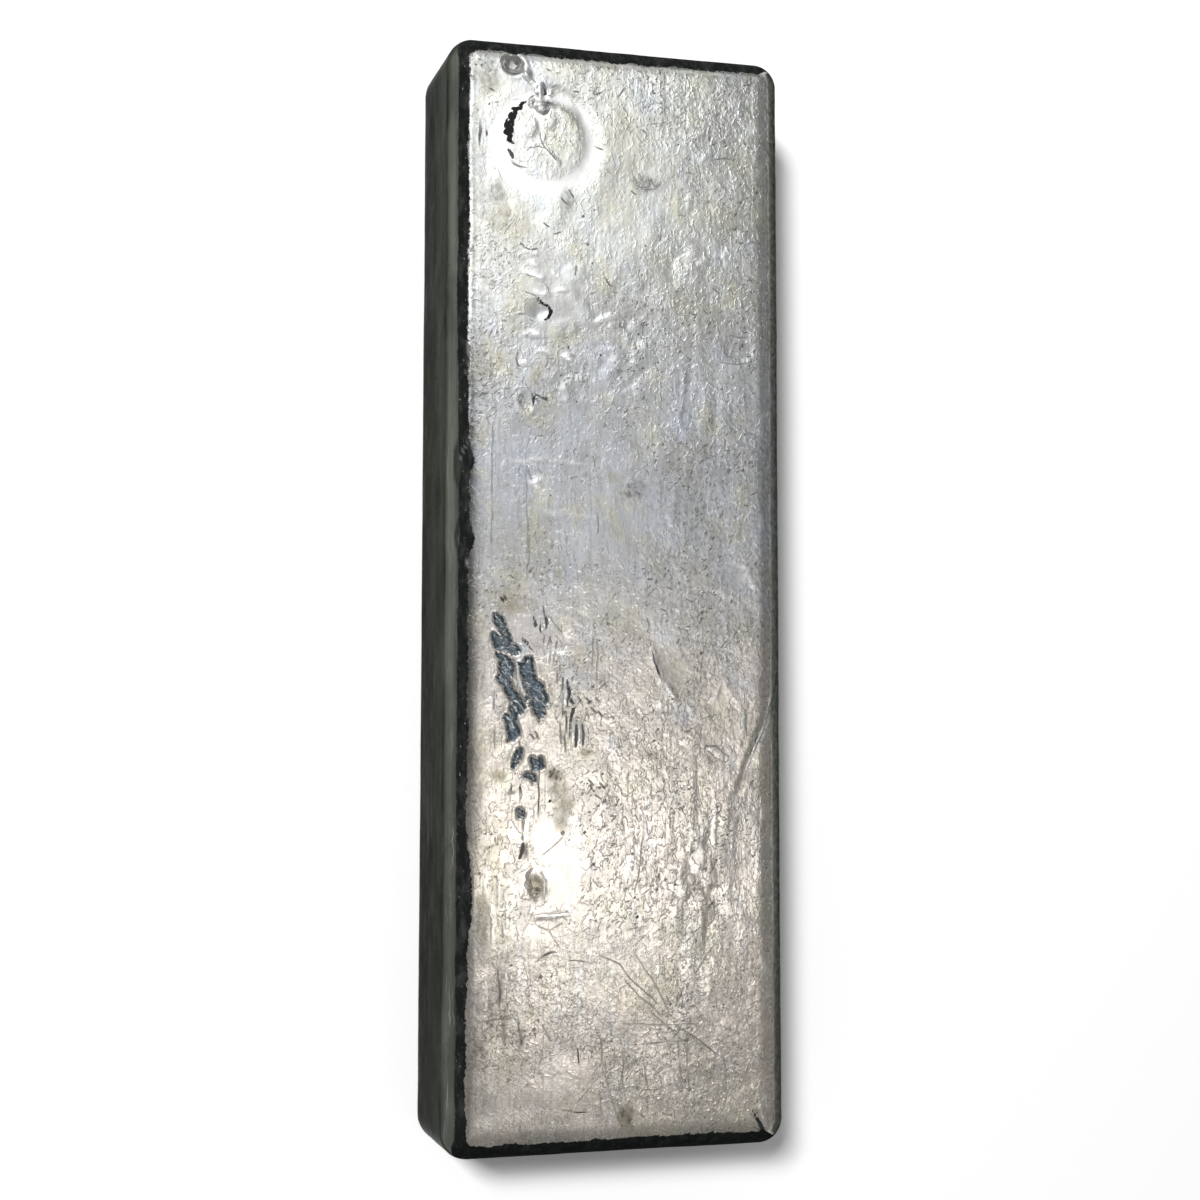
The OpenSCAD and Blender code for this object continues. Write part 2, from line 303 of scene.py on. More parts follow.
class Relief:
    """Height of the skin over its mean, and the marks that the finish draws on it.

    Soft marks are shares from 0 to 1. Sharp marks are kept as the distance to their outline, so that
    the finish can draw an edge that is finer than the mesh.
    """

    SOFT = ("dirt_and_shade", "stain", "polish", "grain")
    # Distance where no sharp mark is near
    FAR = 3.0
    # A stroke thinner than this is kept as a line
    THIN = 0.28
    # Dots smaller than this would fall between the vertices
    SMALLEST_DOT = 0.14
    # The flakes of torn skin are this much wider than their rows say
    TEAR_WIDER = 1.45

    def __init__(self):
        self.height = np.zeros(len(X))
        self.marks = {name: np.zeros(len(X)) for name in self.SOFT}
        for name in ("blot", "torn", "line_0", "line_1"):
            self.marks[name] = np.full(len(X), self.FAR)
        for name in ("blot_dark", "line_dark_0", "line_dark_1"):
            self.marks[name] = np.zeros(len(X))
        self.line_gaps = [np.full(len(X), self.FAR) for _ in range(2)]

    def soften(self, name, value):
        """Raises a soft mark to a share where that is more."""
        self.marks[name] = np.maximum(self.marks[name], np.clip(value, 0, 1))

    def patches(self, name, low, high, *rows):
        """Soft patches from rows (share, *oval), which fade from one reach in their ovals to another."""
        for share, *oval in rows:
            self.soften(name, share * (1 - smooth(low, high, to_oval(RAG_X, RAG_Y, oval))))

    def level(self, name, value, oval):
        """Brings a soft mark to a share inside an oval."""
        share = 1 - smooth(0.6, 1.1, to_oval(RAG_X, RAG_Y, oval))
        self.marks[name] += (value - self.marks[name]) * share

    def lumps(self, *rows):
        """Smooth swellings from rows (height, edge, *oval), or hollows; a small edge makes steep sides."""
        for height, edge, *oval in rows:
            self.height += height * (1 - smooth(1 - edge, 1.0, to_oval(RAG_X, RAG_Y, oval)))

    def pit(self, oval, depth, rim=0.0, dirt_and_shade=0.0):
        """Hollow with a raised rim, and its floor darkened with dirt and with painted shade."""
        reach = to_oval(RAG_X, RAG_Y, oval)
        self.height -= depth * (1 - smooth(0.35, 1.0, reach))
        self.height += rim * np.exp(-(((reach - 1.15) / 0.16) ** 2))
        self.soften("dirt_and_shade", dirt_and_shade * (1 - smooth(0.5, 1.0, reach)))

    def grooves(self, *rows):
        """Grooves that fade at both ends, from rows (width, depth, polish, *path); under 0 deep, a ridge. The
        polish share smooths the metal and paints a highlight on it.
        """
        for width, depth, polish, *path in rows:
            gap, along = to_path(RAG_X, RAG_Y, path)
            share = 1 - smooth(0.15, 1.0, np.abs(gap) / (width / 2 + 0.2))
            share *= smooth(0, 0.2, along + 0.08) * smooth(0, 0.2, 1.08 - along)
            self.height -= depth * share
            self.soften("polish", polish * share)

    def blot(self, gap, dark):
        """Sharp dark shape, from the distance to its outline."""
        nearer = gap < self.marks["blot"]
        self.marks["blot"] = np.where(nearer, gap, self.marks["blot"])
        self.marks["blot_dark"] = np.where(nearer, dark, self.marks["blot_dark"])

    def strokes(self, *rows):
        """Dark strokes, from rows (dark, half width or half widths, *path)."""
        for dark, half, *path in rows:
            if np.max(half) < self.THIN:
                self.line(path, half, dark)
            else:
                gap, along = to_path(X, Y, path)
                self.blot(np.abs(gap) - evenly(half, along), dark)

    def dots(self, dark, *rows):
        """Dark dots from rows (x, y, reach), each at the nearest vertex so that the mesh can hold it."""
        for x, y, reach in rows:
            nearest = np.argmin(np.hypot(X - x, Y - y) + 9 * (DOWN > EDGE_END))
            gap = np.hypot(X - X[nearest], Y - Y[nearest])
            self.blot(gap - max(reach, self.SMALLEST_DOT), dark)

    def tear(self, path, half):
        """Flake of torn skin along a path."""
        gap, along = to_path(X, Y, path)
        gap = np.abs(gap) - self.TEAR_WIDER * evenly(half, along)
        self.marks["torn"] = np.minimum(gap, self.marks["torn"])

    def line(self, path, half, dark, layer=0):
        """Dark line that is finer than the mesh, of one half width or several, on one of two layers."""
        gap, along = to_path(CRACK_X, CRACK_Y, path)
        # neighbours share a sign where they meet, so that no false line runs between them
        between = (np.abs(np.abs(gap) - self.line_gaps[layer]) < 0.5) & (self.line_gaps[layer] < 1.5)
        if np.sum(np.sign(gap * self.marks[f"line_{layer}"])[between]) < 0:
            gap = -gap
        near = dark * CRACK_SHARE * (1 - smooth(0.6, 1.1, np.abs(gap)))
        near *= smooth(0, 0.12, along + 0.02) * smooth(0, 0.12, 1.02 - along)
        nearer = (np.abs(gap) < self.line_gaps[layer]) & (near > 0)
        for array, values in (
            (self.line_gaps[layer], np.abs(gap)),
            (self.marks[f"line_{layer}"], gap / evenly(half, along)),
            (self.marks[f"line_dark_{layer}"], near),
        ):
            array[nearer] = values[nearer]

    def crossing(self, *rows):
        """Dark lines that cross others, from rows (dark, half width, *path)."""
        for dark, half, *path in rows:
            self.line(path, half, dark, 1)

    def lines(self, half, *rows, layer=0):
        """Dark lines of one half width, from rows (dark, *path)."""
        for dark, *path in rows:
            self.line(path, half, dark, layer)


def skin_texture(relief):
    """Waves, lumps and lengthwise ripples of the cast skin, and how rough it is from place to place."""
    relief.height += 0.08 * rough(X, Y, 22, 1, 2)
    relief.height += 0.035 * rough(X, Y, 6, 2, 2)
    grain = 0.42 + 0.22 * rough(X, Y, 14, 9, 2)
    # the right half is rougher, most of all below the middle, and the near end is smoother
    grain += 0.12 * smooth(-4, 14, X) - 0.2 * smooth(-52, -64, Y)
    for more, *oval in ((0.26, 6, -40, 14, 20), (-0.14, -8, 20, 16, 26), (-0.14, -6, 74, 26, 20)):
        grain += more * (1 - smooth(0.4, 1.2, to_oval(RAG_X, RAG_Y, oval)))
    relief.marks["grain"] = np.clip(grain, 0.1, 1)
    # smooth folds, patches that lay flat on the mould, and the bright patch low on the left
    for value, *oval in (
        (0.12, -12, 50, 7.5, 8), (0.25, -15, 38, 3, 4), (0.2, 9.3, -13.5, 3, 4.8, 20),
        (0.1, 20, 2.5, 2.6, 2.8), (0, -12.5, -42, 3, 4), (0.12, -9.5, -48, 3.6, 6),
        (0.1, -16, -7, 2.6, 2.4), (0.1, -18, 86, 4.5, 3), (0.1, -16.5, -22, 2.2, 2.4),
        (0.3, -13.6, 14.5, 8, 5), (0.25, -14, -57, 5, 3), (0.1, -15.5, -65, 2.6, 3),
        (0.15, 1.5, -68, 8.5, 9, 30), (0.3, 20, -66, 3.5, 5), (0.2, -14, -66, 6, 9),
        (0.1, 17.5, -18.5, 1.4, 2.6), (0.2, -19.5, 24, 3.4, 2.6),
    ):
        relief.level("grain", value, oval)
    lumpy = relief.marks["grain"].copy()
    for oval in ((1, 40, 6.5, 10, -20), (12, -48, 7, 12), (-9, 34, 4, 4), (12, 56, 5, 6, -40)):
        lumpy = np.maximum(lumpy, 2.05 * (1 - smooth(0.4, 1.1, to_oval(RAG_X, RAG_Y, oval))))
    relief.height += 0.042 * lumpy * rough(X, Y, 2.0, 5, 2)
    rippled = 1 - smooth(0.5, 1.2, to_oval(X, Y, (13, 25, 8, 24)))
    rippled = np.maximum(rippled, 1.2 * (1 - smooth(0.5, 1.2, to_oval(X, Y, (15, -48, 9, 22)))))
    relief.height += 0.055 * rippled * rough(X, Y / 6, 1.5, 6, 2)
    # the right of the middle is a little dull
    relief.soften("dirt_and_shade", 0.2 * smooth(0, 12, X) * (1 - smooth(0.5, 1.3, to_oval(X, Y, (16, 2, 30, 34)))))


# Middle of the ring mark, its radius, and the radius of the island in it
RING_X, RING_Y = -13.4, 76.3
RING_R = 8.8
ISLAND_R = 5.2


def ring_mark(relief):
    """Round mark in the far left corner: a bright trough, partly a painted highlight, round a rough island
    with a torn left edge in painted shadow.
    """
    r = np.hypot(X - RING_X, Y - RING_Y)
    angle = np.degrees(np.arctan2(Y - RING_Y, X - RING_X)) % 360
    lower_left = 0.5 + 0.5 * np.cos(np.radians(angle - 235))
    outer = RING_R + 1.2 * lower_left
    left = smooth(70, 120, angle) * (1 - smooth(235, 280, angle))
    far_right = 0.5 + 0.5 * np.cos(np.radians(angle - 50))
    # the island's side is torn on the left and gentle on the right
    inner, foot = ISLAND_R + left, RING_R - 1.8 * left
    trough = 0.04 + 0.1 * far_right**2 * (1 - left)
    trough *= smooth(inner, foot, r)
    trough *= 1 - smooth(foot, outer + 1.6, r)
    relief.height -= trough
    # the smooth trough, whose near-white colour is a painted highlight
    polish = smooth(6.7, 7.6, r) * (1 - smooth(outer - 1.2, outer + 0.4, r + 0.5 * noise(X, Y, 2.5, 4)))
    polish *= 1 - 0.45 * smooth(95, 125, angle) * (1 - smooth(170, 205, angle)) * smooth(7.6, 9.2, r)
    relief.soften("polish", polish)
    relief.marks["grain"] *= 1 - 0.95 * polish
    relief.level("grain", 0.3, (RING_X, RING_Y, 6.2, 6.2))
    # the black crescent along the torn left edge is a painted shadow under the island's step
    relief.strokes(
        (1, (0.1, 0.26, 0.22, 0.34, 0.28, 0.4, 0.34, 0.44, 0.42, 0.46, 0.38, 0.34, 0.2),
         -16.3, 82.8, -17.5, 82.2, -17.3, 81.5, -18.5, 81.2, -18.3, 80.4, -19.3, 79.9, -18.9, 79.1,
         -19.9, 78.5, -19.1, 77.8, -20, 77.2, -19.2, 76.5, -19.6, 75.8, -18.7, 75.3),
        (0.9, (0.12, 0.34, 0.2), -19.75, 74.35, -19.2, 73.6, -18.75, 72.7),
        (0.85, (0.15, 0.17, 0.1, 0.03), -19, 72.3, -18.4, 71.5, -17.4, 71.2, -16.4, 71.2),
        (0.9, (0.02, 0.08), -18.9, 74.35, -19.7, 74.4),
    )
    # teeth of the torn edge, in painted shadow
    relief.dots(
        1.0,
        (-18.75, 81.35, 0.28), (-19.2, 80.3, 0.2), (-19.95, 79.3, 0.16), (-18.85, 78.3, 0.24),
        (-20.1, 78.1, 0.14), (-20.15, 76.9, 0.16), (-18.9, 77.1, 0.2), (-18.5, 79.6, 0.2),
        (-17.6, 81.2, 0.2),
    )
    # painted shade on the far right of the island's edge: a crisp start that softens towards the right
    relief.strokes((0.85, (0.1, 0.18, 0.12), *arc(RING_X, RING_Y, 6.5, 94, 72)))
    shade = 1 - smooth(0.0, 1.1, np.abs(r - 6.55) / (0.5 + 0.006 * (85 - angle).clip(0)))
    relief.soften("dirt_and_shade", 0.7 * shade * smooth(98, 80, angle) * smooth(15, 60, angle))
    # creases of the island
    relief.strokes((0.75, 0.09, -14.25, 77.8, -14.15, 76.4, -13.4, 75.1, -10.9, 72.5))
    relief.crossing(
        (0.6, 0.07, -15.9, 74.8, -14.4, 75.05, -12.9, 74.6),
        (0.35, 0.06, -11.6, 78.4, -11.4, 77, -12.2, 76.1),
    )
    relief.grooves(
        (0.5, -0.08, 0.7, -13.4, 74.6, -10.9, 72.1), (0.4, -0.07, 0.5, -13.7, 77.4, -13.6, 76.2),
    )
    relief.lumps((0.07, 0.5, -12.6, 79.5, 1.7, 1.6, 20), (0.06, 0.5, -16, 78.2, 1.6, 2.2, -20))


def bubble_and_drops(relief):
    """Burst bubble at the far edge, and the beads of metal that ran from it to the ring."""
    relief.pit((-18.85, 89.1, 2.05, 2), 0.9, rim=0.05, dirt_and_shade=0.35)
    # the dark rim of the bubble and the dark edges of the beads are painted shade
    relief.strokes(
        (0.8, (0.08, 0.16, 0.2, 0.24, 0.12), *arc(-18.85, 89.1, 1.85, 185, 385, 13)),
        (0.6, 0.09, -16.7, 88.3, -15.8, 87.4, -14.7, 86),
        (1, (0.06, 0.16, 0.2, 0.1), -14.1, 85.7, -13.45, 85.2, -13.25, 84.5, -13.55, 83.9),
        (0.9, (0.06, 0.12, 0.14, 0.1), -15.3, 81.9, -14.6, 81.15, -13.6, 81.15, -12.85, 81.9),
        (0.85, (0.04, 0.1, 0.14, 0.1), -14.4, 80.75, -13.5, 80.75, -12.9, 81.2, -12.55, 82),
        (0.7, 0.1, -16.2, 83, -15.6, 83.6, -15.1, 83.85),
        (0.7, 0.08, -12.9, 84.1, -12.2, 84.1, -11.8, 84.7), (0.7, 0.11, -12.3, 85.4, -11.5, 85.8),
        (0.7, 0.1, -12.9, 88.45, -12.2, 88.2), (0.6, 0.07, -18.9, 82.9, -18.2, 83.2, -17.7, 82.95),
        (0.5, 0.08, -21.8, 82.2, -21.1, 82.5),
    )
    relief.lumps(
        (0.12, 0.5, -16.4, 87.4, 0.9, 1.1, 40), (0.3, 0.5, -14.15, 84.8, 0.75, 1.3, -8),
        (0.22, 0.5, -15.7, 82.5, 0.6, 0.5, 30), (0.3, 0.5, -14, 82.2, 1.15, 0.75, 15),
        (0.12, 0.5, -12.3, 84.5, 0.7, 0.4, 25),
    )
    relief.crossing(
        (0.45, 0.07, -17.3, 87.3, -16.5, 86.6, -15.4, 85.6), (0.5, 0.07, -14.95, 85.2, -14.95, 84.3),
        (0.6, 0.07, -16.4, 82.2, -15.4, 83.1),
    )


def far_end_marks(relief):
    """Small marks, stains and dents of the far third of the mould face."""
    relief.strokes(
        (0.85, (0.1, 0.2, 0.17, 0.1), -24.6, 78.7, -24.45, 77.2, -24.6, 75.9, -24.5, 74.4),
        (0.85, (0.1, 0.13), -23.45, 77.2, -23.45, 76.1),
    )
    for path in (
        (14, 73.8, 14.25, 72.2), (12, 72.4, 13.6, 72.4), (17, 75.3, 18.6, 75.4, 19.8, 75),
        (-4.3, 75.6, -3.1, 75.3), (-0.6, 84.9, 0.2, 85.9, 0.8, 86.8), (-4.6, 84.9, -3.6, 85.3),
        (-8.4, 85.1, -7.4, 85), (4.2, 90.4, 5, 90.7), (8.3, 87.6, 9.4, 88.3), (15.2, 85, 16.2, 85.4),
        (4, 79.4, 4.8, 78.8, 4.6, 77.9), (-13.4, 61.8, -12.6, 61.3), (-6.3, 58.8, -5.5, 58.3),
        (4.4, 59, 4.8, 59.4), (-11.6, 60.1, -10.6, 60.5), (-2.6, 53, -1.7, 51.6, -0.8, 51.8),
        (-7.7, 54.9, -7.9, 53.2), (16.6, 52.3, 17.8, 51.2), (19.8, 52.6, 20.2, 51.2),
        (14.6, 48.6, 15.3, 47.8), (-10.3, 66.3, -9.3, 65.3), (-9, 68, -8.2, 66.6), (2, 68.4, 3, 67.6),
        (5.3, 70.8, 6.2, 69.4, 7.3, 70.6), (10.6, 65, 11.6, 64.6), (-22.8, 84.4, -22.1, 84.1),
        (9.9, 82.3, 10.8, 81.7), (18.4, 78.6, 19.4, 77.6), (22.8, 70.8, 23.6, 69.6),
        (-17.4, 58.2, -15.8, 57.2, -14.4, 57.5),
    ):
        relief.line(path, 0.11, 0.75)
    relief.dots(
        0.8,
        (-6.6, 63.5, 0.26), (-5.7, 58.5, 0.22), (4.5, 59.1, 0.14), (-4.5, 64.8, 0.12), (21.8, 47.5, 0.2),
        (-23, 81.8, 0.16), (-4.9, 55.4, 0.2), (18.9, 77.8, 0.25), (10.4, 77.4, 0.18),
    )
    for path in (
        (2.4, 71, 4, 68.6), (3.4, 71.4, 4.4, 69.6), (5, 71.2, 5.2, 69.4), (6.6, 70.6, 6, 68.8),
        (2.6, 69.4, 4.8, 68.9, 6.8, 69.2),
    ):
        relief.line(path, 0.08, 0.5, 1)
    relief.patches(
        "dirt_and_shade", 0.4, 1.2,
        (0.5, -21.5, 66.5, 1.8, 2.4), (0.5, -9.2, 66.2, 1.6, 2.6), (0.3, -23.5, 88.7, 2.2, 2.2),
        (0.3, -24.8, 72, 1.6, 14), (0.25, 18, 89, 7, 1.6), (0.25, -22, 62.5, 3.4, 2.5),
        (0.5, 4.6, 69.8, 3.2, 1.9), (0.45, -23.5, 87, 3.4, 4.5), (0.25, -24, 47, 2.2, 8),
        (0.3, -24, 35, 2.6, 6),
    )
    relief.patches(
        "stain", 0.3, 1.3,
        (0.45, 0, 78, 5.5, 9), (0.45, -20, 61.5, 5, 3.6), (0.3, 18, 64, 5, 4), (0.3, -13, 88.5, 4, 1.6),
        (0.3, -24, 84, 2, 5),
    )
    for path in (
        (12.5, 68.5, 12, 66), (19.2, 59.6, 18.6, 58, 19.3, 56), (14.5, 80, 13, 78.5), (23, 69, 22.6, 65.8),
        (24.6, 82, 24.9, 75), (15.5, 76, 14.4, 74.5), (21.4, 62.4, 22.4, 61), (23.6, 60.6, 23.2, 59),
        (17, 60.8, 16.2, 59.4),
    ):
        relief.grooves((0.35, -0.05, 0.7, *path))


def pits_and_folds(relief):
    """Folds of chilled metal left of the middle, and the row of pits below them."""
    relief.lumps(
        (0.04, 0.55, -9.5, 50, 2.6, 3.4, 10), (0.04, 0.55, -9.8, 44, 3, 2, 15),
        (0.05, 0.55, -6.4, 46.6, 2, 3.2, 30), (0.03, 0.55, -8, 53.5, 2.4, 2),
    )
    relief.lines(
        0.08,
        (0.5, -16.4, 52.9, -14.8, 52.3, -13.9, 51.7), (0.35, -13.2, 51.3, -12.5, 50.2, -12.9, 49.2),
        (0.45, -16.4, 49.9, -15.2, 49.4, -14.4, 48.95), (0.4, -17.5, 58.1, -16.6, 57.4, -15.6, 57.2),
        (0.3, -16.9, 53.6, -16.3, 54.5, -15.4, 54.2),
    )
    # dull patch with a very ragged outline
    very_ragged = 3 * RAG_X - 2 * X, 3 * RAG_Y - 2 * Y
    relief.blot(1.5 * (to_oval(*very_ragged, (-15.3, 47.2, 1.3, 1.7, 35)) - 1), 0.28)
    relief.pit((-14, 46.6, 2, 1.7), 0.09)
    # the dark ragged strokes along the pits' overhangs and rims are painted shadow
    relief.strokes(
        (1, (0.16, 0.26, 0.2, 0.32, 0.24, 0.12), -14.3, 48.9, -13.6, 47.95, -12.75, 47.7, -12.1, 46.7,
         -12.6, 45.6, -13.3, 45.2),
        (0.7, 0.12, -17.6, 45.8, -16.2, 46), (0.75, 0.12, *arc(-16.0, 38.4, 2.15, 150, 225, 5)),
        (0.5, 0.1, *arc(-14.6, 38.2, 1.9, 20, -50, 5)),
    )
    relief.pit((-16.3, 31.1, 1.35, 1.9), 0.07, rim=0.025, dirt_and_shade=0.1)
    relief.strokes(
        (0.95, (0.08, 0.2, 0.1), -15.5, 32.6, -15.1, 31.6, -15.1, 30.4),
        (0.6, 0.09, *arc(-16.3, 31.1, 1.5, 110, 200, 5)),
        (0.85, (0.15, 0.1, 0.22, 0.1), -14.9, 32.4, -14.1, 32, -13.3, 31.7, -12.6, 31.4),
        (0.9, (0.06, 0.08), -13.3, 32.2, -12.7, 31.8),
        (0.9, (0.05, 0.13, 0.05), -9.15, 41.1, -9, 40.6, -9.2, 40),
        (0.85, (0.07, 0.1), -5.85, 41, -5.7, 40.5),
    )
    relief.pit((-15.4, 19, 1.9, 1.7), 0.04, rim=0.015)
    relief.strokes(
        (0.5, 0.1, *arc(-15.6, 19.1, 1.9, 130, 205, 5)),
        (0.5, 0.09, -14.1, 19.9, -13.3, 19.2, -13.4, 18.8),
    )
    relief.dots(
        0.9,
        (-7.7, 31.7, 0.16), (17.9, 34.7, 0.17), (9.9, 30.6, 0.17), (-12.2, 15.5, 0.13), (-3.5, 39.5, 0.2),
        (11.2, 6.5, 0.15),
    )
    for width, *path in (
        (0.9, -16.9, 53.5, -15.2, 52.9, -13.5, 52.4), (0.35, -15.9, 55.1, -14.2, 54.5),
        (0.6, -15, 50, -13.6, 49.5, -12.9, 49.9), (0.9, -15.7, 43.1, -14.2, 42.9),
        (0.7, -17.5, 37.5, -16.2, 37.9), (0.3, -14.6, 40.1, -12.4, 39.6), (0.2, -16.5, 57, -14.4, 56.6),
        (0.1, -12, 53.4, -10.4, 52.6), (0.1, -11.6, 50.4, -9.4, 50.8), (0.5, -9.8, 38.9, -8.2, 38.9),
    ):
        relief.grooves((width, -0.05, 1.0, *path))
    relief.crossing(
        (0.6, 0.09, -15.6, 45, -14.6, 44.6), (0.55, 0.12, -15.65, 20, -15.65, 18.9, -15.1, 17.6),
    )
    relief.grooves(
        (0.4, -0.05, 0.4, -17, 42.6, -13, 42.4), (0.5, -0.12, 0.9, -9.8, 39.3, -8.4, 39.2),
        (0.4, -0.08, 0.7, -15.3, 17.4, -14.2, 17.5),
    )
    relief.patches(
        "dirt_and_shade", 0.4, 1.2,
        (0.35, -24.5, 39, 2, 9), (0.35, -14, 34.5, 1.4, 2.2), (0.75, 2.2, 16.8, 2.8, 1.8, 15),
        (0.2, -24.3, 13, 2.2, 8),
    )
    relief.patches(
        "stain", 0.3, 1.3,
        (0.4, -21.5, 37, 4, 5), (0.7, -14.6, 36.3, 1.3, 3.4, -15), (0.5, -1.5, 18.8, 2, 1.2),
        (0.5, -10.5, 2.8, 1, 2.4),
    )


def middle_marks(relief):
    """Raised cross lines, fine lengthwise lines and small marks of the middle of the mould face."""
    relief.lines(
        0.1,
        (0.45, -22, 28, -22.05, 15, -21.95, 5), (0.3, -16.1, 25.5, -16, 16, -16.2, 5),
        (0.6, -4.1, 12.5, -4, 9), (0.6, -5, 22.4, -4.6, 21.5, -4.7, 20.4),
        (0.6, 17.7, 39.5, 20.5, 39.4, 24.2, 39.8), (0.5, 19.2, 44.3, 21, 44.1, 23.2, 44.2),
        (0.3, 18.1, 42.5, 17.9, 40), (0.7, 4.7, 20.1, 5.2, 19.1), (0.5, 5.7, 38.9, 6.8, 37.2),
        (0.7, -15, 8.6, -14.5, 7.2), (0.6, -11.8, 7.8, -11.9, 6.3), (0.5, -9.3, 8.6, -9.4, 7),
        (0.8, -19, 1.8, -18.4, 1.1), (0.8, 10.6, 3.7, 11.5, 3), (0.7, 8.3, 0.6, 9.2, 0.1),
        (0.7, 11.3, -1.7, 12.4, -2.4, 13.4, -1.7), (0.8, 7.1, -3.2, 8.1, -3.7),
        (0.6, 4.6, -4.8, 5.1, -6.4), (0.5, 15.6, 3.3, 16, 2.5), (0.4, -4, -8.5, -3.95, -12, -4.05, -16),
        (0.35, -4.8, -8, -4.9, -13),
    )
    relief.patches(
        "dirt_and_shade", 0.4, 1.2,
        (0.3, 20.4, 44, 2, 0.5), (0.3, 23.4, 43, 0.9, 1), (0.3, 23.3, 40.4, 1.4, 0.9),
    )
    # dark side of the crescent fold, a painted shade
    relief.strokes((0.95, (0.04, 0.14, 0.15, 0.1), 5.45, -10.3, 5.75, -12, 6.4, -13.7, 7.35, -15.7))
    relief.grooves(
        (0.15, -0.035, 0.7, -19.8, 20.9, -15, 21.2, -10, 21.3, -5.2, 20.8),
        (0.25, -0.025, 0.5, -13.6, 12.7, -9, 12.4, -5.5, 12.3, -3, 11.8),
        (0.1, -0.015, 0.35, -14, 15.7, -8, 15.5), (0.6, -0.12, 0.8, -4.6, 45.2, -2, 46.3, -0.4, 46.6),
        (0.7, -0.06, 0.4, 5.3, -9.5, 5.9, -12.5, 7.4, -16),
        (0.6, -0.16, 1, 7.6, -16.2, 8.7, -17.5, 9.9, -18.8),
        (0.4, -0.05, 0.5, 16, 0.6, 18.5, -0.8, 20.5, -1.5), (0.5, -0.06, 0.6, 22, 4.5, 23.2, 1.5, 24, 0.5),
    )
    relief.crossing((0.35, 0.08, -15.9, 9, -16, 1))
    relief.lumps(
        (-0.07, 0.25, 21, 41.9, 3, 2.2), (-0.012, 0.8, 9.2, -13.4, 2.9, 4.6, 25),
        (-0.03, 0.5, 20, 2.5, 2.6, 2.8),
    )
    relief.patches("dirt_and_shade", 0.3, 1.3, (0.3, 9.4, -12.5, 3.4, 5.4, 20))
    relief.patches("dirt_and_shade", 0.6, 1.1, (0.25, 20, 2.5, 2.6, 2.8))


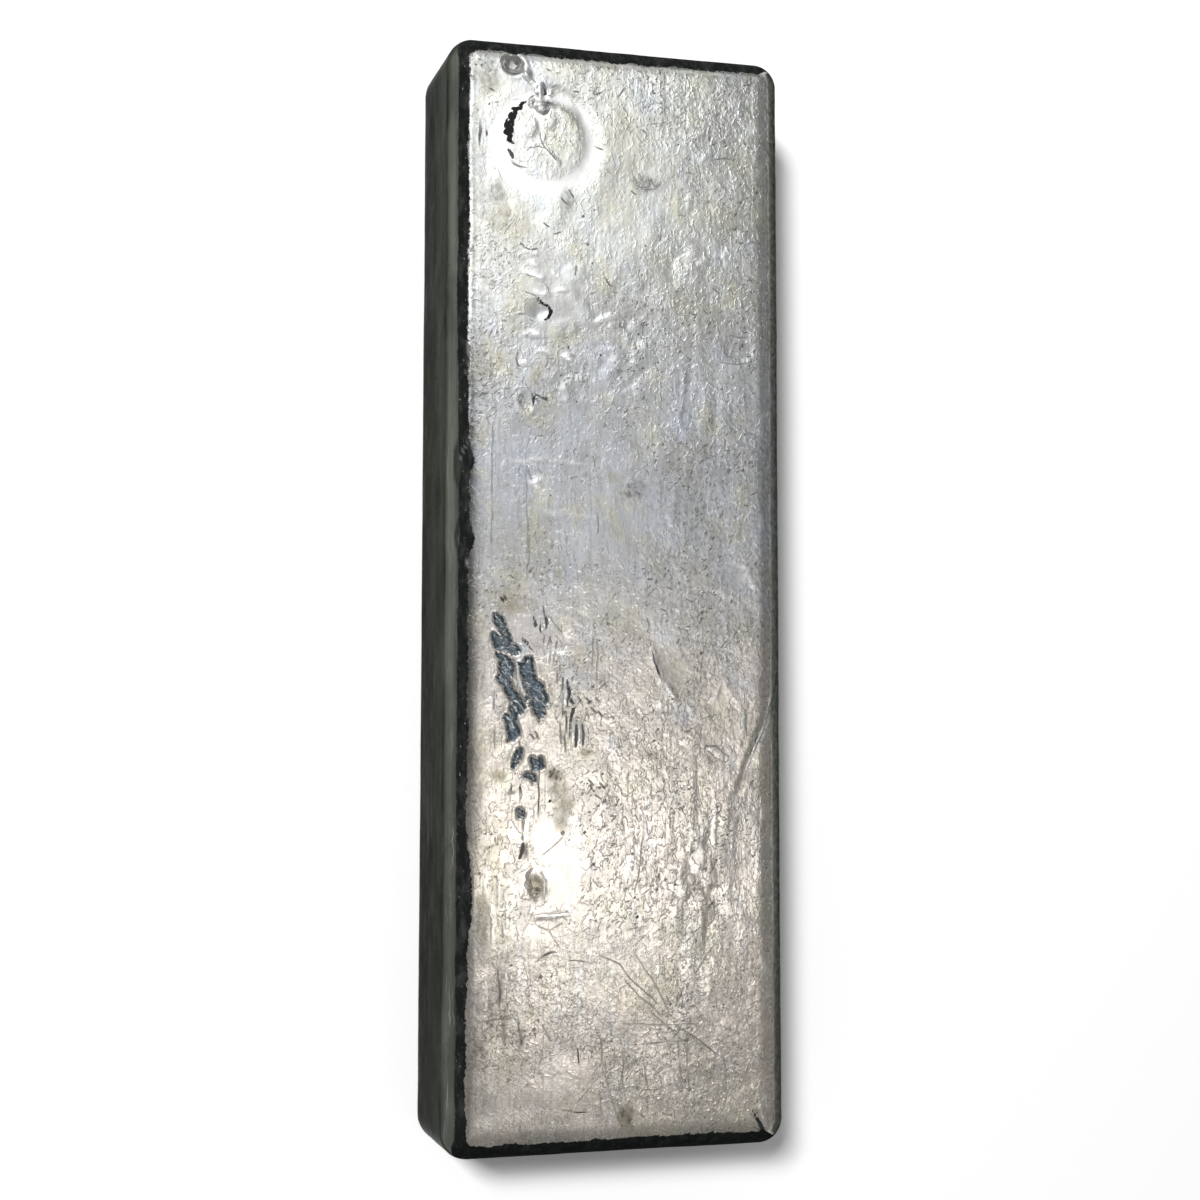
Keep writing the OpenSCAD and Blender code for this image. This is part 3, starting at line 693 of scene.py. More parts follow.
def torn_skin(relief):
    """Torn dark flakes left of the middle, the cuts between them, and the dashes right of them."""
    for widths, *path in (
        ((0.2, 0.6, 0.5), -21.5, -4.6, -20.9, -5.6, -20.3, -6.8), ((0.25, 0.3), -20.4, -7, -19.7, -8.6),
        ((0.15, 0.3), -19.6, -7.4, -19.1, -9),
        ((0.4, 0.65, 0.65, 0.55), -21.6, -8.1, -20.8, -9.5, -19.5, -10, -18, -10.6),
        ((0.3, 0.4, 0.25), -20.9, -11.4, -19.8, -11.9, -18.9, -12.5),
        ((0.3, 0.3), -20.4, -12.8, -18.9, -13), ((0.95, 0.85), -19.5, -13.4, -19.5, -14.2),
        ((0.2, 0.3, 0.25), -20.9, -15.1, -20.2, -16, -19, -16),
        ((0.55, 0.6, 0.45), -19.2, -16.9, -18.2, -18.4, -16.9, -20.1),
        ((0.35, 0.4), -18.6, -20.2, -18.2, -21.6), ((0.3, 0.25), -17.4, -20.2, -17, -21),
        ((0.4, 0.6), -19.4, -21.7, -18.8, -22.4), ((0.7, 0.75), -18.5, -23.2, -18.2, -24.3),
        ((0.15, 0.25), -19.3, -25.5, -18.4, -25.4), ((0.15, 0.35), -17.4, -12.8, -16.8, -13.6),
        ((0.5, 0.9), -15.8, -12.3, -16, -14.2), ((0.8, 0.7), -15.7, -15.2, -15.6, -16.7),
        ((0.5, 0.3), -14.6, -16, -13.6, -16.3), ((0.7, 0.95, 0.7), -14.2, -17.4, -13.8, -18.9, -14.1, -20),
        ((0.15, 0.3), -16.5, -18.8, -15.2, -18.1), ((0.15, 0.25), -15.9, -19.8, -15, -19.3),
        ((0.3, 0.35), -14.6, -20.8, -13.4, -21.2), ((0.15, 0.15), -13.9, -21.9, -13.8, -22.3),
        ((0.35, 0.45, 0.25), -17.2, -27.2, -17.6, -28.4, -18.2, -29.8),
        ((0.35, 0.5), -15.1, -28.6, -14.5, -29.8), ((0.3, 0.4), -13.7, -28.6, -13.6, -29.9),
        ((0.25, 0.4, 0.3), -16.3, -31.3, -15.2, -31.3, -14.8, -32.2), ((0.2, 0.22), -17.5, -37, -16.8, -37),
        ((0.3, 0.3), -17.3, -37.9, -16.8, -37.9),
    ):
        relief.tear(path, widths)
    torn = 1 - smooth(-0.35, 0.25, relief.marks["torn"])
    relief.height -= 0.16 * torn
    relief.height += 0.03 * np.exp(-((relief.marks["torn"] - 0.45) / 0.3) ** 2)
    relief.strokes(
        (0.95, (0.08, 0.13, 0.06), -17, -8.8, -16, -9.8, -15, -11.1),
        (0.85, (0.05, 0.1), -16.8, -8.4, -15.6, -9.7),
    )
    for widths, *path in (
        ((0.14, 0.16, 0.3, 0.12), -13.4, -3.3, -13.1, -4.6, -12.7, -5.9, -12.85, -7.1),
        ((0.14, 0.3), -14.95, -5, -14.6, -6.5), ((0.06, 0.14, 0.05), -13.85, -5.9, -14, -7.5, -13.6, -7.8),
        ((0.14, 0.05), -13.1, -8.1, -13.3, -9.9), ((0.08, 0.16), -12.15, -8.5, -12, -9.6),
        ((0.14, 0.3, 0.12), -9.3, -15.4, -8.85, -17.6, -9.15, -19.8), ((0.2, 0.2), -8.6, -18.4, -8, -19.6),
        ((0.3, 0.2, 0.12), -8.15, -20.3, -8.6, -22, -8.7, -25),
        ((0.16, 0.3, 0.22), -7.5, -22.2, -7.65, -24.4, -7.75, -26.6),
        ((0.08, 0.22, 0.1), -6.6, -22.7, -6.45, -24.6, -6.65, -26.6),
        ((0.08, 0.14), -18.6, -32.6, -18.75, -34), ((0.24, 0.24), -19.1, -34.3, -18.6, -34.2),
        ((0.06, 0.2, 0.1), -17.2, -32.7, -17.15, -34.2, -17.25, -35.4),
        ((0.25, 0.12), -16.6, -38.8, -16.75, -40.3), ((0.1, 0.14), -16.8, -41.1, -16.8, -42),
    ):
        relief.strokes((0.9, widths, *path))
    relief.strokes(
        (0.85, 0.11, -13.8, -27.7, -14, -30.6, -14.1, -34.2, -14.2, -37.9),
        (0.7, 0.09, -12.5, -4.6, -11.4, -6.2, -10.3, -7.7),
    )
    for dark, *path in (
        (0.8, -20.4, -1.7, -19.7, -2.7), (0.7, -19.8, -1.4, -19.3, -2.4), (0.7, -12.2, -8.4, -12.5, -10.2),
        (0.6, -12, -10.6, -12.3, -12.6), (0.7, -11, -9.2, -11.2, -10.4), (0.6, -10.9, -12.8, -11, -16),
        (0.6, -10, -15, -10.1, -17.4), (0.7, -9.8, -18.4, -9.9, -21.6), (0.7, -9.2, -20.8, -9.35, -24.4),
        (0.5, -10.3, -22.4, -10.35, -26), (0.6, -9.7, -24.6, -9.75, -27.4),
        (0.7, -7.3, -18.2, -6.7, -19.4), (0.8, -5.9, -18.6, -5.1, -19.6), (0.7, -5, -20.3, -4.2, -21.3),
        (0.7, -4.4, -18.5, -3.6, -19.3), (0.7, -3.8, -20.9, -3, -21.9), (0.5, -6, -21, -5.4, -22),
        (0.7, -5.6, -32, -4.6, -33), (0.8, -3.6, -32.6, -2.8, -33.6), (0.6, -4.4, -34.6, -3.4, -35.4),
        (0.7, -2.6, -34.4, -1.8, -35.2), (0.8, -17.4, -25.8, -17, -27.2),
        (0.6, -15.4, -24.6, -14.6, -25.6), (0.6, -14.6, -24.2, -14, -25.4),
    ):
        relief.line(path, 0.13, min(1.2 * dark, 1))
    relief.strokes(
        (0.6, 0.12, -11.2, -10.8, -11.6, -12.4), (0.5, 0.12, -10.4, -11.6, -10.6, -14.2),
        (0.5, 0.12, -21.6, -17.3, -21.6, -20.7), (0.4, 0.1, -21.6, -22.8, -21.55, -27),
    )
    for path in (
        (-12.6, -11, -8.6, -10.3), (-17.6, -12.2, -17, -16, -15.8, -19), (-9.5, -17.2, -9.7, -19.5),
        (-8.1, -22.4, -8.15, -25.5), (-7.05, -23, -7.1, -26),
    ):
        relief.grooves((0.7, -0.09, 0.7, *path))


def low_pits(relief):
    """Brown stains round the torn skin, and the two ragged pits below it."""
    # the dark ragged edges of the two pits are painted shadow
    relief.strokes((0.9, (0.2, 0.36, 0.24), -16.6, -42.4, -16.7, -43.7, -17.15, -44.9))
    relief.pit((-16.6, -43.8, 0.7, 1.5, -10), 0.08)
    relief.pit((-14.6, -49.6, 1.6, 2.9, -8), 0.09, dirt_and_shade=0.2)
    relief.strokes(
        (0.95, (0.1, 0.22, 0.26, 0.16, 0.26, 0.2), -14.95, -46.55, -15.6, -47.1, -16.1, -47.9, -16, -48.6,
         -16.25, -49.4, -16, -50.4),
        (0.85, (0.05, 0.14, 0.2), -15.5, -48.6, -15.2, -50, -15.5, -51),
        (0.7, (0.14, 0.1, 0.2), -15.3, -51, -14.7, -51.6, -14.3, -52.2),
        (0.9, (0.22, 0.14), -14.5, -50.1, -13.9, -50.2), (0.8, (0.1, 0.16), -14.5, -50.9, -13.9, -51),
        (0.4, 0.16, -13.6, -47.3, -12.6, -48.9, -12.7, -51.2), (0.6, 0.08, -17.2, -51.5, -15.4, -51.8),
        (0.35, 0.06, -14.8, -54.2, -9, -54.15),
    )
    relief.dots(1.0, (-12.2, -35.55, 0.25))
    relief.dots(
        0.6,
        (-11.6, -31, 0.32), (-10.9, -31.4, 0.26), (-11.3, -30.4, 0.2), (-12, -31.7, 0.2),
        (-10.5, -30.8, 0.18), (-11.2, -32, 0.22), (-12.3, -30.7, 0.16), (-10.2, -31.8, 0.16),
        (-9.8, -41, 0.35),
    )
    relief.strokes((0.4, 0.1, -9.9, -41.6, -11.6, -43, -13.3, -44.4))
    relief.dots(
        0.75,
        (-8.7, -41.95, 0.18), (-6.1, -41, 0.3), (-7, -39.8, 0.16), (-6.4, -34.2, 0.16),
        (-4.7, -33.8, 0.18), (-5.9, -32.6, 0.14), (-22.8, -40.9, 0.16), (-21.9, -40.9, 0.12),
        (-3.3, -31, 0.2), (-2, -35.4, 0.14),
    )
    relief.patches(
        "dirt_and_shade", 0.2, 1.2,
        (0.6, -11.3, -31.2, 1.9, 1.6), (0.35, -10.6, -33.5, 2.2, 1.8), (0.35, -9.7, -36.3, 2.4, 2.4),
        (0.3, -10.2, -39, 1.8, 2), (0.4, -24.4, -33, 2, 15), (0.3, -24.4, -14, 1.8, 9),
        (0.2, -18.5, -2.6, 3.6, 2.4), (0.4, -20.6, -31.4, 1.4, 1), (0.4, -6, -27.8, 1.4, 0.9),
    )
    relief.patches("dirt_and_shade", 0.1, 1.1, (0.95, -11.3, -31.2, 1.3, 1.2))
    relief.patches(
        "stain", 0.2, 1.2,
        (1, -11.3, -31.2, 2, 1.7), (0.75, -10.6, -33.5, 2.2, 1.8), (0.7, -9.7, -36.3, 2.4, 2.4),
        (0.6, -10.2, -39, 1.8, 2), (0.5, -22.5, -42.5, 3.5, 5.5), (0.4, -12.6, -36, 1.4, 1.6),
        (0.4, -23.5, -33, 1.8, 4), (0.8, -18.5, -2.6, 4.4, 3.2), (0.45, -6, -11.5, 4.2, 2.8),
        (0.8, -20.6, -31.4, 1.8, 1.4), (0.7, -6, -27.8, 2, 1.3), (0.4, -22.8, -26, 2.2, 4),
    )
    relief.lumps((0.04, 0.9, -15.5, -43.9, 1, 1.6), (0.06, 0.7, -14.1, -48, 0.9, 1.2))
    # brown inside the lower pit: painted shade in its hollow, with a stain's tint
    relief.patches("stain", 0.5, 1.1, (1, -14.6, -49.8, 1.5, 2.3, -8))
    relief.crossing((0.5, 0.07, -17.4, -47.4, -16.4, -46.9, -15.2, -46.3))
    relief.patches("dirt_and_shade", 0.3, 1.2, (0.3, -13, -51, 1.2, 1.8))
    relief.grooves((0.45, -0.08, 0.6, -14.5, -54.5, -11.5, -54.4, -8.8, -54.5))


def near_end_marks(relief):
    """Scratches, cracks and spots of the near third of the mould face."""
    relief.strokes(
        (0.8, (0.05, 0.17, 0.17, 0.06), -14.2, -61.9, -13, -61, -11.6, -60.4, -10.9, -60.6),
        (0.8, (0.05, 0.12), -8.7, -61.9, -6, -62.3),
    )
    for dark, *path in (
        (0.42, -3.2, -61.4, -0.2, -62.8, 3, -66.4, 6.6, -69.6), (0.36, 2.6, -61.2, 5.2, -65, 9.2, -72.3),
        (0.3, 0.4, -64.8, 3, -68, 7.5, -71.6), (0.7, 9.8, -73.2, 13, -75.2, 17.3, -78.6),
        (0.6, 16.8, -59.3, 14.6, -62, 12.6, -65), (0.45, 10.9, -66.8, 9.4, -70),
        (0.6, -3.9, -81.3, -6, -83.6, -8.1, -85.6), (0.85, -10, -86.1, -8, -86.6, -5.6, -86.6),
        (0.3, -14.1, -56, -12.1, -57.1, -10, -60.2), (0.3, -12.1, -57, -10, -55.8),
        (0.5, 11.5, -75.2, 11.6, -80, 12, -84), (0.45, 0.5, -78, 0.4, -81, 1, -85.4),
        (0.35, 10.4, -80, 10.6, -85), (0.45, 18, -79, 18.2, -83), (0.5, -3.4, -75, -3.1, -79),
        (0.9, -7.5, -76.3, -7.2, -78.8), (0.65, 4.3, -76, 8, -75.7, 12.2, -75.6),
        (0.35, 0.5, -72.4, 8, -72.8, 13.6, -72.9), (0.4, 10.2, -80.5, 13.7, -80.2),
        (0.3, 3.9, -79.2, 4.6, -84), (0.4, 5.6, -80, 7, -82), (0.4, -2.6, -80.5, -1, -87, 0.2, -90.5),
        (0.5, 3.9, -41.8, 3.1, -46.5, 2.5, -51), (0.35, -13.2, -72.4, -11.6, -75.2),
        (0.4, 6.9, -61.5, 6.6, -65.5), (0.55, -20.6, -63, -20.4, -69), (0.55, -17.2, -71.5, -16.7, -75.6),
        (0.4, 17.4, -83, 18.4, -84.2, 18.2, -85.4), (0.45, -3.5, -83.4, -3.6, -89),
        (0.4, -23.5, -71.4, -20, -71), (0.25, 1, -57, 4.6, -56.4), (0.25, 2, -59.8, 5, -57.2),
        (0.5, 7.2, -87.3, 9.2, -87.8), (0.35, 16, -89.5, 18, -87),
    ):
        relief.line(path, 0.1, min(1.15 * dark, 1))
    relief.dots(0.9, (2.7, -55, 0.3), (2.6, -51.9, 0.2))
    relief.dots(0.8, (-18.4, -62.4, 0.2), (2.2, -44.5, 0.25), (9.4, -49.6, 0.25))
    relief.dots(
        0.7,
        (-13.4, -64.3, 0.3), (-11.7, -64.2, 0.2), (8.4, -69.4, 0.25), (-14.8, -72.8, 0.3),
        (-23.9, -47.2, 0.25), (7.6, -48.8, 0.25), (-9, -53.9, 0.14), (-8.8, -55.8, 0.13),
    )
    relief.dots(
        0.6,
        (-19, -81, 0.4), (-15.7, -81.8, 0.25), (17.8, -43.4, 0.3), (12.6, -50.6, 0.3), (-4.2, -55.3, 0.2),
    )
    relief.dots(0.5, (10.8, -89, 0.25), (1.6, -88, 0.35))
    # a bowed row of small dots
    relief.dots(0.6, *((-23.4 + 0.42 * k, -78.5 - 0.03 * (k - 4) ** 2, 0.1) for k in range(9)))
    relief.lines(
        0.09,
        (0.6, 12.6, -75, 15, -76.6), (0.35, 10, -75.8, 10.1, -79), (0.4, 5.5, -71, 9.4, -74),
        (0.4, 0.9, -78.2, 1.6, -80.4),
        layer=1,
    )
    relief.patches(
        "dirt_and_shade", 0.3, 1.2,
        (0.5, -23.7, -56, 1.8, 7), (0.5, -24, -70, 1.6, 6), (0.5, -20.5, -66, 1, 4),
        (0.4, -17, -74, 0.8, 3), (0.4, 18, -45, 1, 5), (0.4, 13, -50, 1, 3), (0.35, 18.6, -60, 1.2, 7),
        (0.95, 0.9, -87.6, 1.6, 2.4), (0.5, -24.2, -76, 2.4, 7), (0.55, -21.8, -69, 0.8, 6),
        (0.5, -19.6, -72, 0.7, 5), (0.35, -23.6, -83, 3, 4), (0.4, -26, -62, 1.4, 9),
        (0.3, -19, -88.5, 7, 1.4), (0.35, 10, -55, 0.7, 4),
    )
    relief.patches(
        "stain", 0.3, 1.2,
        (0.4, -4, -50.5, 1.6, 2.4), (0.42, -22, -48, 5, 16), (0.35, 3, -67, 9, 7, 20),
        (0.8, 0.9, -87.6, 2, 2.8), (0.3, -20, -74, 5, 9),
    )
    for path in (
        (-21.8, -50, -21.4, -59), (16.5, -36, 16, -44), (19.6, -38, 19.2, -50), (21.8, -56, 21.6, -63),
        (-19.3, -50, -19.4, -58), (22.8, -67, 22.3, -71), (6.9, -61.5, 6.5, -65), (-22.9, -46, -22.7, -52),
        (-20.5, -47, -20.4, -54), (13.2, -40, 13, -52), (10.4, -46, 10.2, -55),
    ):
        relief.grooves((0.2, -0.03, 0.5, *path))


def right_edge_marks(relief):
    """Long gouge over the right edge, ridges and squiggles left of it, and the split near right corner."""
    relief.strokes(
        (0.9, 0.12, 30.5, -14, 27.3, -18.7, 24, -25.2, 20.2, -34.9),
        (0.8, 0.1, 14.6, -27.5, 14.7, -26.3, 15.5, -26.5, 16.6, -26.5, 17.7, -27.5, 19.1, -28.2),
        (0.5, 0.09, 15.4, -28.6, 16.7, -29.4), (0.5, 0.08, 16.9, -18.4, 17.9, -15.6),
        (0.7, (0.06, 0.15, 0.1, 0.12), 21.1, -20.2, 21.5, -21.2, 21, -22.4, 21.1, -23.6),
        (0.8, (0.1, 0.12), 20.9, -25.6, 21.4, -26.6), (0.5, 0.09, 15.7, -21.2, 16.3, -22.4, 17.8, -23.6),
        (0.7, (0.14, 0.18), 11.2, -24.2, 12.2, -24.1),
        (1, (0.12, 0.28, 0.38, 0.45), 22.9, -87.8, 23.8, -89.4, 24.7, -91, 25.3, -93),
        (0.9, (0.03, 0.14), 22.7, -90.4, 24.6, -91.6),
    )
    # short ridges along the right edge, whose polish paints glints on them
    for y in (74, 69, 66.5, 30, 27.5, 12, -38, -64, -86):
        relief.grooves((0.5, -0.07, 0.8, 25.4, y + 1.2, 25.2, y - 1.2))
    relief.grooves(
        (1.3, 0.16, 0, 29.5, -15.2, 27.2, -19.2, 24.5, -24.2, 20.3, -34.8),
        (0.5, -0.05, 0.6, 28.2, -18.5, 25.2, -24.2, 22, -31.4),
        (0.4, -0.09, 0.8, 15.3, -26.8, 16.6, -27.6, 18.4, -28.5),
        (0.3, -0.06, 0.6, 14.3, -18.2, 16.4, -18.7, 17.4, -16.6, 18.1, -14.8, 19.3, -18.2),
        (0.4, -0.12, 0.9, 21.7, -20.4, 21.4, -22.4, 21.6, -24.4),
        (0.7, 0.22, 0, 23.2, -88, 24.2, -89.8, 25.1, -92.6), (0.5, -0.1, 0.5, 24.3, -88.6, 25.4, -91),
    )
    relief.crossing(
        (0.8, 0.11, 29.8, -17.2, 26.9, -21.2, 24.2, -26.2, 21.3, -33.2),
        (0.7, 0.08, 19, -28.4, 18.6, -29.1, 17.3, -28.6, 16.4, -28.3, 15.5, -27.3),
        (0.4, 0.08, 19.6, -19.6, 19.7, -25.2),
    )
    relief.lumps((0.12, 0.5, 24, -91.3, 0.7, 0.5, 30))


def left_edge_marks(relief):
    """Dents on the long left edge, seen against its dark band, with glints painted on raised lines by them.
    """
    for depth, *oval in (
        (0.4, -27.4, 20.4, 1.5, 4.2), (0.4, -26.9, 8.2, 1.4, 3.2), (0.3, -26.4, -50, 1.1, 6.5),
        (0.25, -27.5, 76.5, 1, 1.8), (0.2, -27, 38, 0.9, 2.6), (0.2, -27, -68, 0.9, 3),
    ):
        relief.pit(oval, depth, rim=0.05)
    # raised lines by the dents, whose polish paints glints on them
    for painted_glint, *path in (
        (0.35, -26, 23.8, -27, 22.9, -27.8, 21.4, -28.4, 19.8), (0.35, -25.8, 17.4, -25.9, 12.4),
        (0.6, -26, 6, -26.1, 3.2), (0.6, -26.3, 41, -26, 38), (0.6, -27.9, -34.5, -28.1, -36.6),
        (0.3, -28.6, 2.5, -28.5, -2), (0.3, -26.2, 37.4, -26.6, 35.4),
    ):
        relief.grooves((0.1, -0.04, painted_glint, *path))


relief = Relief()
for add_marks in (
    skin_texture, ring_mark, bubble_and_drops, far_end_marks, pits_and_folds, middle_marks, torn_skin,
    low_pits, near_end_marks, right_edge_marks, left_edge_marks,
):
    add_marks(relief)


# Height of the skin over the plain form

def skin_height(relief):
    """The marks of the face, waves on the walls, and ripples in the dish under the bar."""
    waves = 0.10 * rough(X, Y, 9, 21, 3)
    waves *= smooth(EDGE_END * 0.6, EDGE_END, DOWN)
    waves *= 1 - smooth(WALL_END, WALL_END + 2, DOWN)
    swirls = 0.5 * np.sin(Y / 3.2 + 2.5 * noise(X, Y, 24, 27))
    ripples = -0.07 * smooth(WALL_END + 9, WALL_END + 14, DOWN) * (1 + rough(X, Y, 9, 25, 2) + swirls)
    sunk = FLAT_SUNK * (1 - smooth(0.0, 3.0, DOWN))
    return ON_FACE * relief.height - sunk + waves + ripples


# Where the dark band of the rounded edge, partly tarnish and partly painted shade, starts on three sides; on
# the right it starts at the wall
LEFT_START, FAR_START, NEAR_START = (FACE_EDGE_R * math.radians(a) for a in (19, 22, 25))
LEFT_WALL_START = FACE_EDGE_R * math.radians(40)
# Both starts on the left move further down the skin between these two places along the bar
LEFT_LOWER = 20, 50
# The dark band reaches further onto the face at the dents: place along the bar, half length, reach
DENTS = (-51, 7, 1.0), (20.5, 2.8, 0.6), (7.9, 2.2, 1.1), (39.5, 1.8, 0.4)


def edge_tarnish_and_shade(relief):
    """How far past the ragged starts of the dark edge and of the walls each place is, and how much painted
    shade it has.
    """
    to_right, to_far = SIDE.T
    start = (
        np.where(to_right < 0, LEFT_START + 0.35 * smooth(*LEFT_LOWER, Y), EDGE_END) * to_right**2
        + np.where(to_far > 0, FAR_START, NEAR_START) * to_far**2
    )
    start += 0.34 * rough(X, Y, 3.5, 31, 3)
    for place, half_length, reach in DENTS:
        start -= reach * np.exp(-(((Y - place) / half_length) ** 2)) * (to_right < -0.5)
    relief.marks["band"] = np.where(DOWN > 0, DOWN - start, -LEFT_START)
    wall_start = LEFT_WALL_START + 0.5 * smooth(*LEFT_LOWER, Y)
    wall_start = np.where(to_right < 0, wall_start, EDGE_END) * to_right**2 + EDGE_END * to_far**2
    wall_gap = DOWN - wall_start - 0.2 * rough(X, Y, 4, 35, 2)
    relief.marks["wall"] = np.where(DOWN > 0, wall_gap, -EDGE_END)
    # share of the way down the wall, by which the walls' low part darkens as painted shade
    relief.marks["low"] = smooth(EDGE_END * 0.7, WALL_END, DOWN)
    # painted shade: the skin darkens little by little towards the edge, most on the right and by the middle
    # of the left
    on_right = smooth(0.3, 0.8, to_right)
    past_right = np.where(DOWN > 0, on_right * DOWN - 1.5 * (1 - on_right), X - FLAT_HALF[0])
    left_edge_shade = 0.2 + 0.7 * (1 - smooth(25, 45, Y)) * smooth(-45, -25, Y)
    relief.marks["edge_shade"] = np.maximum.reduce([
        0.15 * smooth(-1, 1.2, past_right),
        0.97 * smooth(1.8, 3.15, past_right),
        left_edge_shade * smooth(-1.4, 2.8, -X - FLAT_HALF[0]),
        0.24 * smooth(-0.6, 2.0, Y - FLAT_HALF[1]),
        0.4 * smooth(0.2, 2.8, -Y - FLAT_HALF[1]),
    ])


def make_mesh(name, points, polygons):
    """Smooth mesh in the scene, from points in millimetres."""
    mesh = bpy.data.meshes.new(name)
    mesh.from_pydata((points * MM).tolist(), [], polygons)
    mesh.update()
    obj = bpy.data.objects.new(name, mesh)
    bpy.context.scene.collection.objects.link(obj)
    mesh.polygons.foreach_set("use_smooth", np.ones(len(mesh.polygons), bool))
    return obj


edge_tarnish_and_shade(relief)
skin_places = np.clip(PLACES + NORMALS * skin_height(relief)[:, None], CAD_LOW, CAD_HIGH)
ingot_skin = make_mesh("ingot_skin", skin_places, faces)
for name, values in relief.marks.items():
    attribute = ingot_skin.data.attributes.new(name, "FLOAT", "POINT")
    attribute.data.foreach_set("value", values.astype(np.float32))


class Nodes:
    """Short calls that add linked nodes to a material or world."""

    def __init__(self, owner):
        owner.use_nodes = True
        self.tree = owner.node_tree
        self.tree.nodes.clear()

    def add(self, kind, inputs=(), **settings):
        """Node with inputs set to constants or linked, and with its settings."""
        node = self.tree.nodes.new(kind)
        for key, value in settings.items():
            setattr(node, key, value)
        for key, value in dict(inputs).items():
            if isinstance(value, bpy.types.NodeSocket):
                self.tree.links.new(value, node.inputs[key])
            else:
                node.inputs[key].default_value = value
        return node

    def math(self, operation, a, b=0.0, c=0.0, clamp=False):
        return self.add("ShaderNodeMath", {0: a, 1: b, 2: c}, operation=operation, use_clamp=clamp).outputs[0]

    def vector(self, operation, a, b=(0, 0, 0), c=(0, 0, 0)):
        return self.add("ShaderNodeVectorMath", {0: a, 1: b, 2: c}, operation=operation).outputs[0]

    def length(self, vector):
        return self.add("ShaderNodeVectorMath", {0: vector}, operation="LENGTH").outputs["Value"]

    def most(self, a, b):
        return self.math("MAXIMUM", a, b)

    def plus(self, value, factor, base, clamp=False):
        """A value times a factor, added to a base."""
        return self.math("MULTIPLY_ADD", value, factor, base, clamp)

    def centred(self, value):
        """Noise moved down by a half, so that it goes both ways."""
        return self.math("SUBTRACT", value, 0.5)

    def attribute(self, name):
        return self.add("ShaderNodeAttribute", attribute_name=name).outputs["Fac"]

    def shifted(self, place, size, reach):
        """The place, moved up to reach millimetres each way by noise with lumps of size millimetres."""
        wander = self.add("ShaderNodeTexNoise", {"Vector": place, "Scale": 1 / (size * MM), "Detail": 2.0})
        centred = self.vector("SUBTRACT", wander.outputs["Color"], (0.5, 0.5, 0.5))
        return self.vector("MULTIPLY_ADD", centred, (2 * reach * MM,) * 3, place)

    def noise(self, place, size, detail=2.0, roughness=0.5, stretch=(1, 1, 1), turn=0.0):
        """Noise from 0 to 1 with lumps of size millimetres, stretched along axes that are turned about Z."""
        stretched = self.add("ShaderNodeMapping", {
            "Vector": place,
            "Rotation": (0, 0, math.radians(turn)),
            "Scale": [size * MM * s for s in stretch],
        }, vector_type="TEXTURE").outputs[0]
        node = self.add("ShaderNodeTexNoise", {
            "Vector": stretched, "Scale": 1.0, "Detail": detail, "Roughness": roughness,
        })
        return node.outputs[0]

    def step(self, value, low, high, a=0.0, b=1.0):
        """a below low, b above high, and a smooth step between them."""
        inputs = {0: value, 1: low, 2: high, 3: a, 4: b}
        return self.add("ShaderNodeMapRange", inputs, interpolation_type="SMOOTHSTEP").outputs[0]

    def ridge(self, value, width):
        """1 where noise crosses its middle and 0 away from there, which draws winding lines."""
        return self.step(self.math("ABSOLUTE", self.centred(value)), 0, width, 1, 0)

    def product(self, *values):
        result = values[0]
        for value in values[1:]:
            result = self.math("MULTIPLY", result, value)
        return result

    def paint(self, colour, *covers):
        """A colour covered by others one after the other, from rows (share, colour)."""
        for share, cover in covers:
            node = self.add("ShaderNodeMix", {0: share}, data_type="RGBA", blend_type="MIX")
            for key, value in ((6, colour), (7, cover)):
                if isinstance(value, bpy.types.NodeSocket):
                    self.tree.links.new(value, node.inputs[key])
                else:
                    node.inputs[key].default_value = (*value, 1.0)
            colour = node.outputs[2]
        return colour


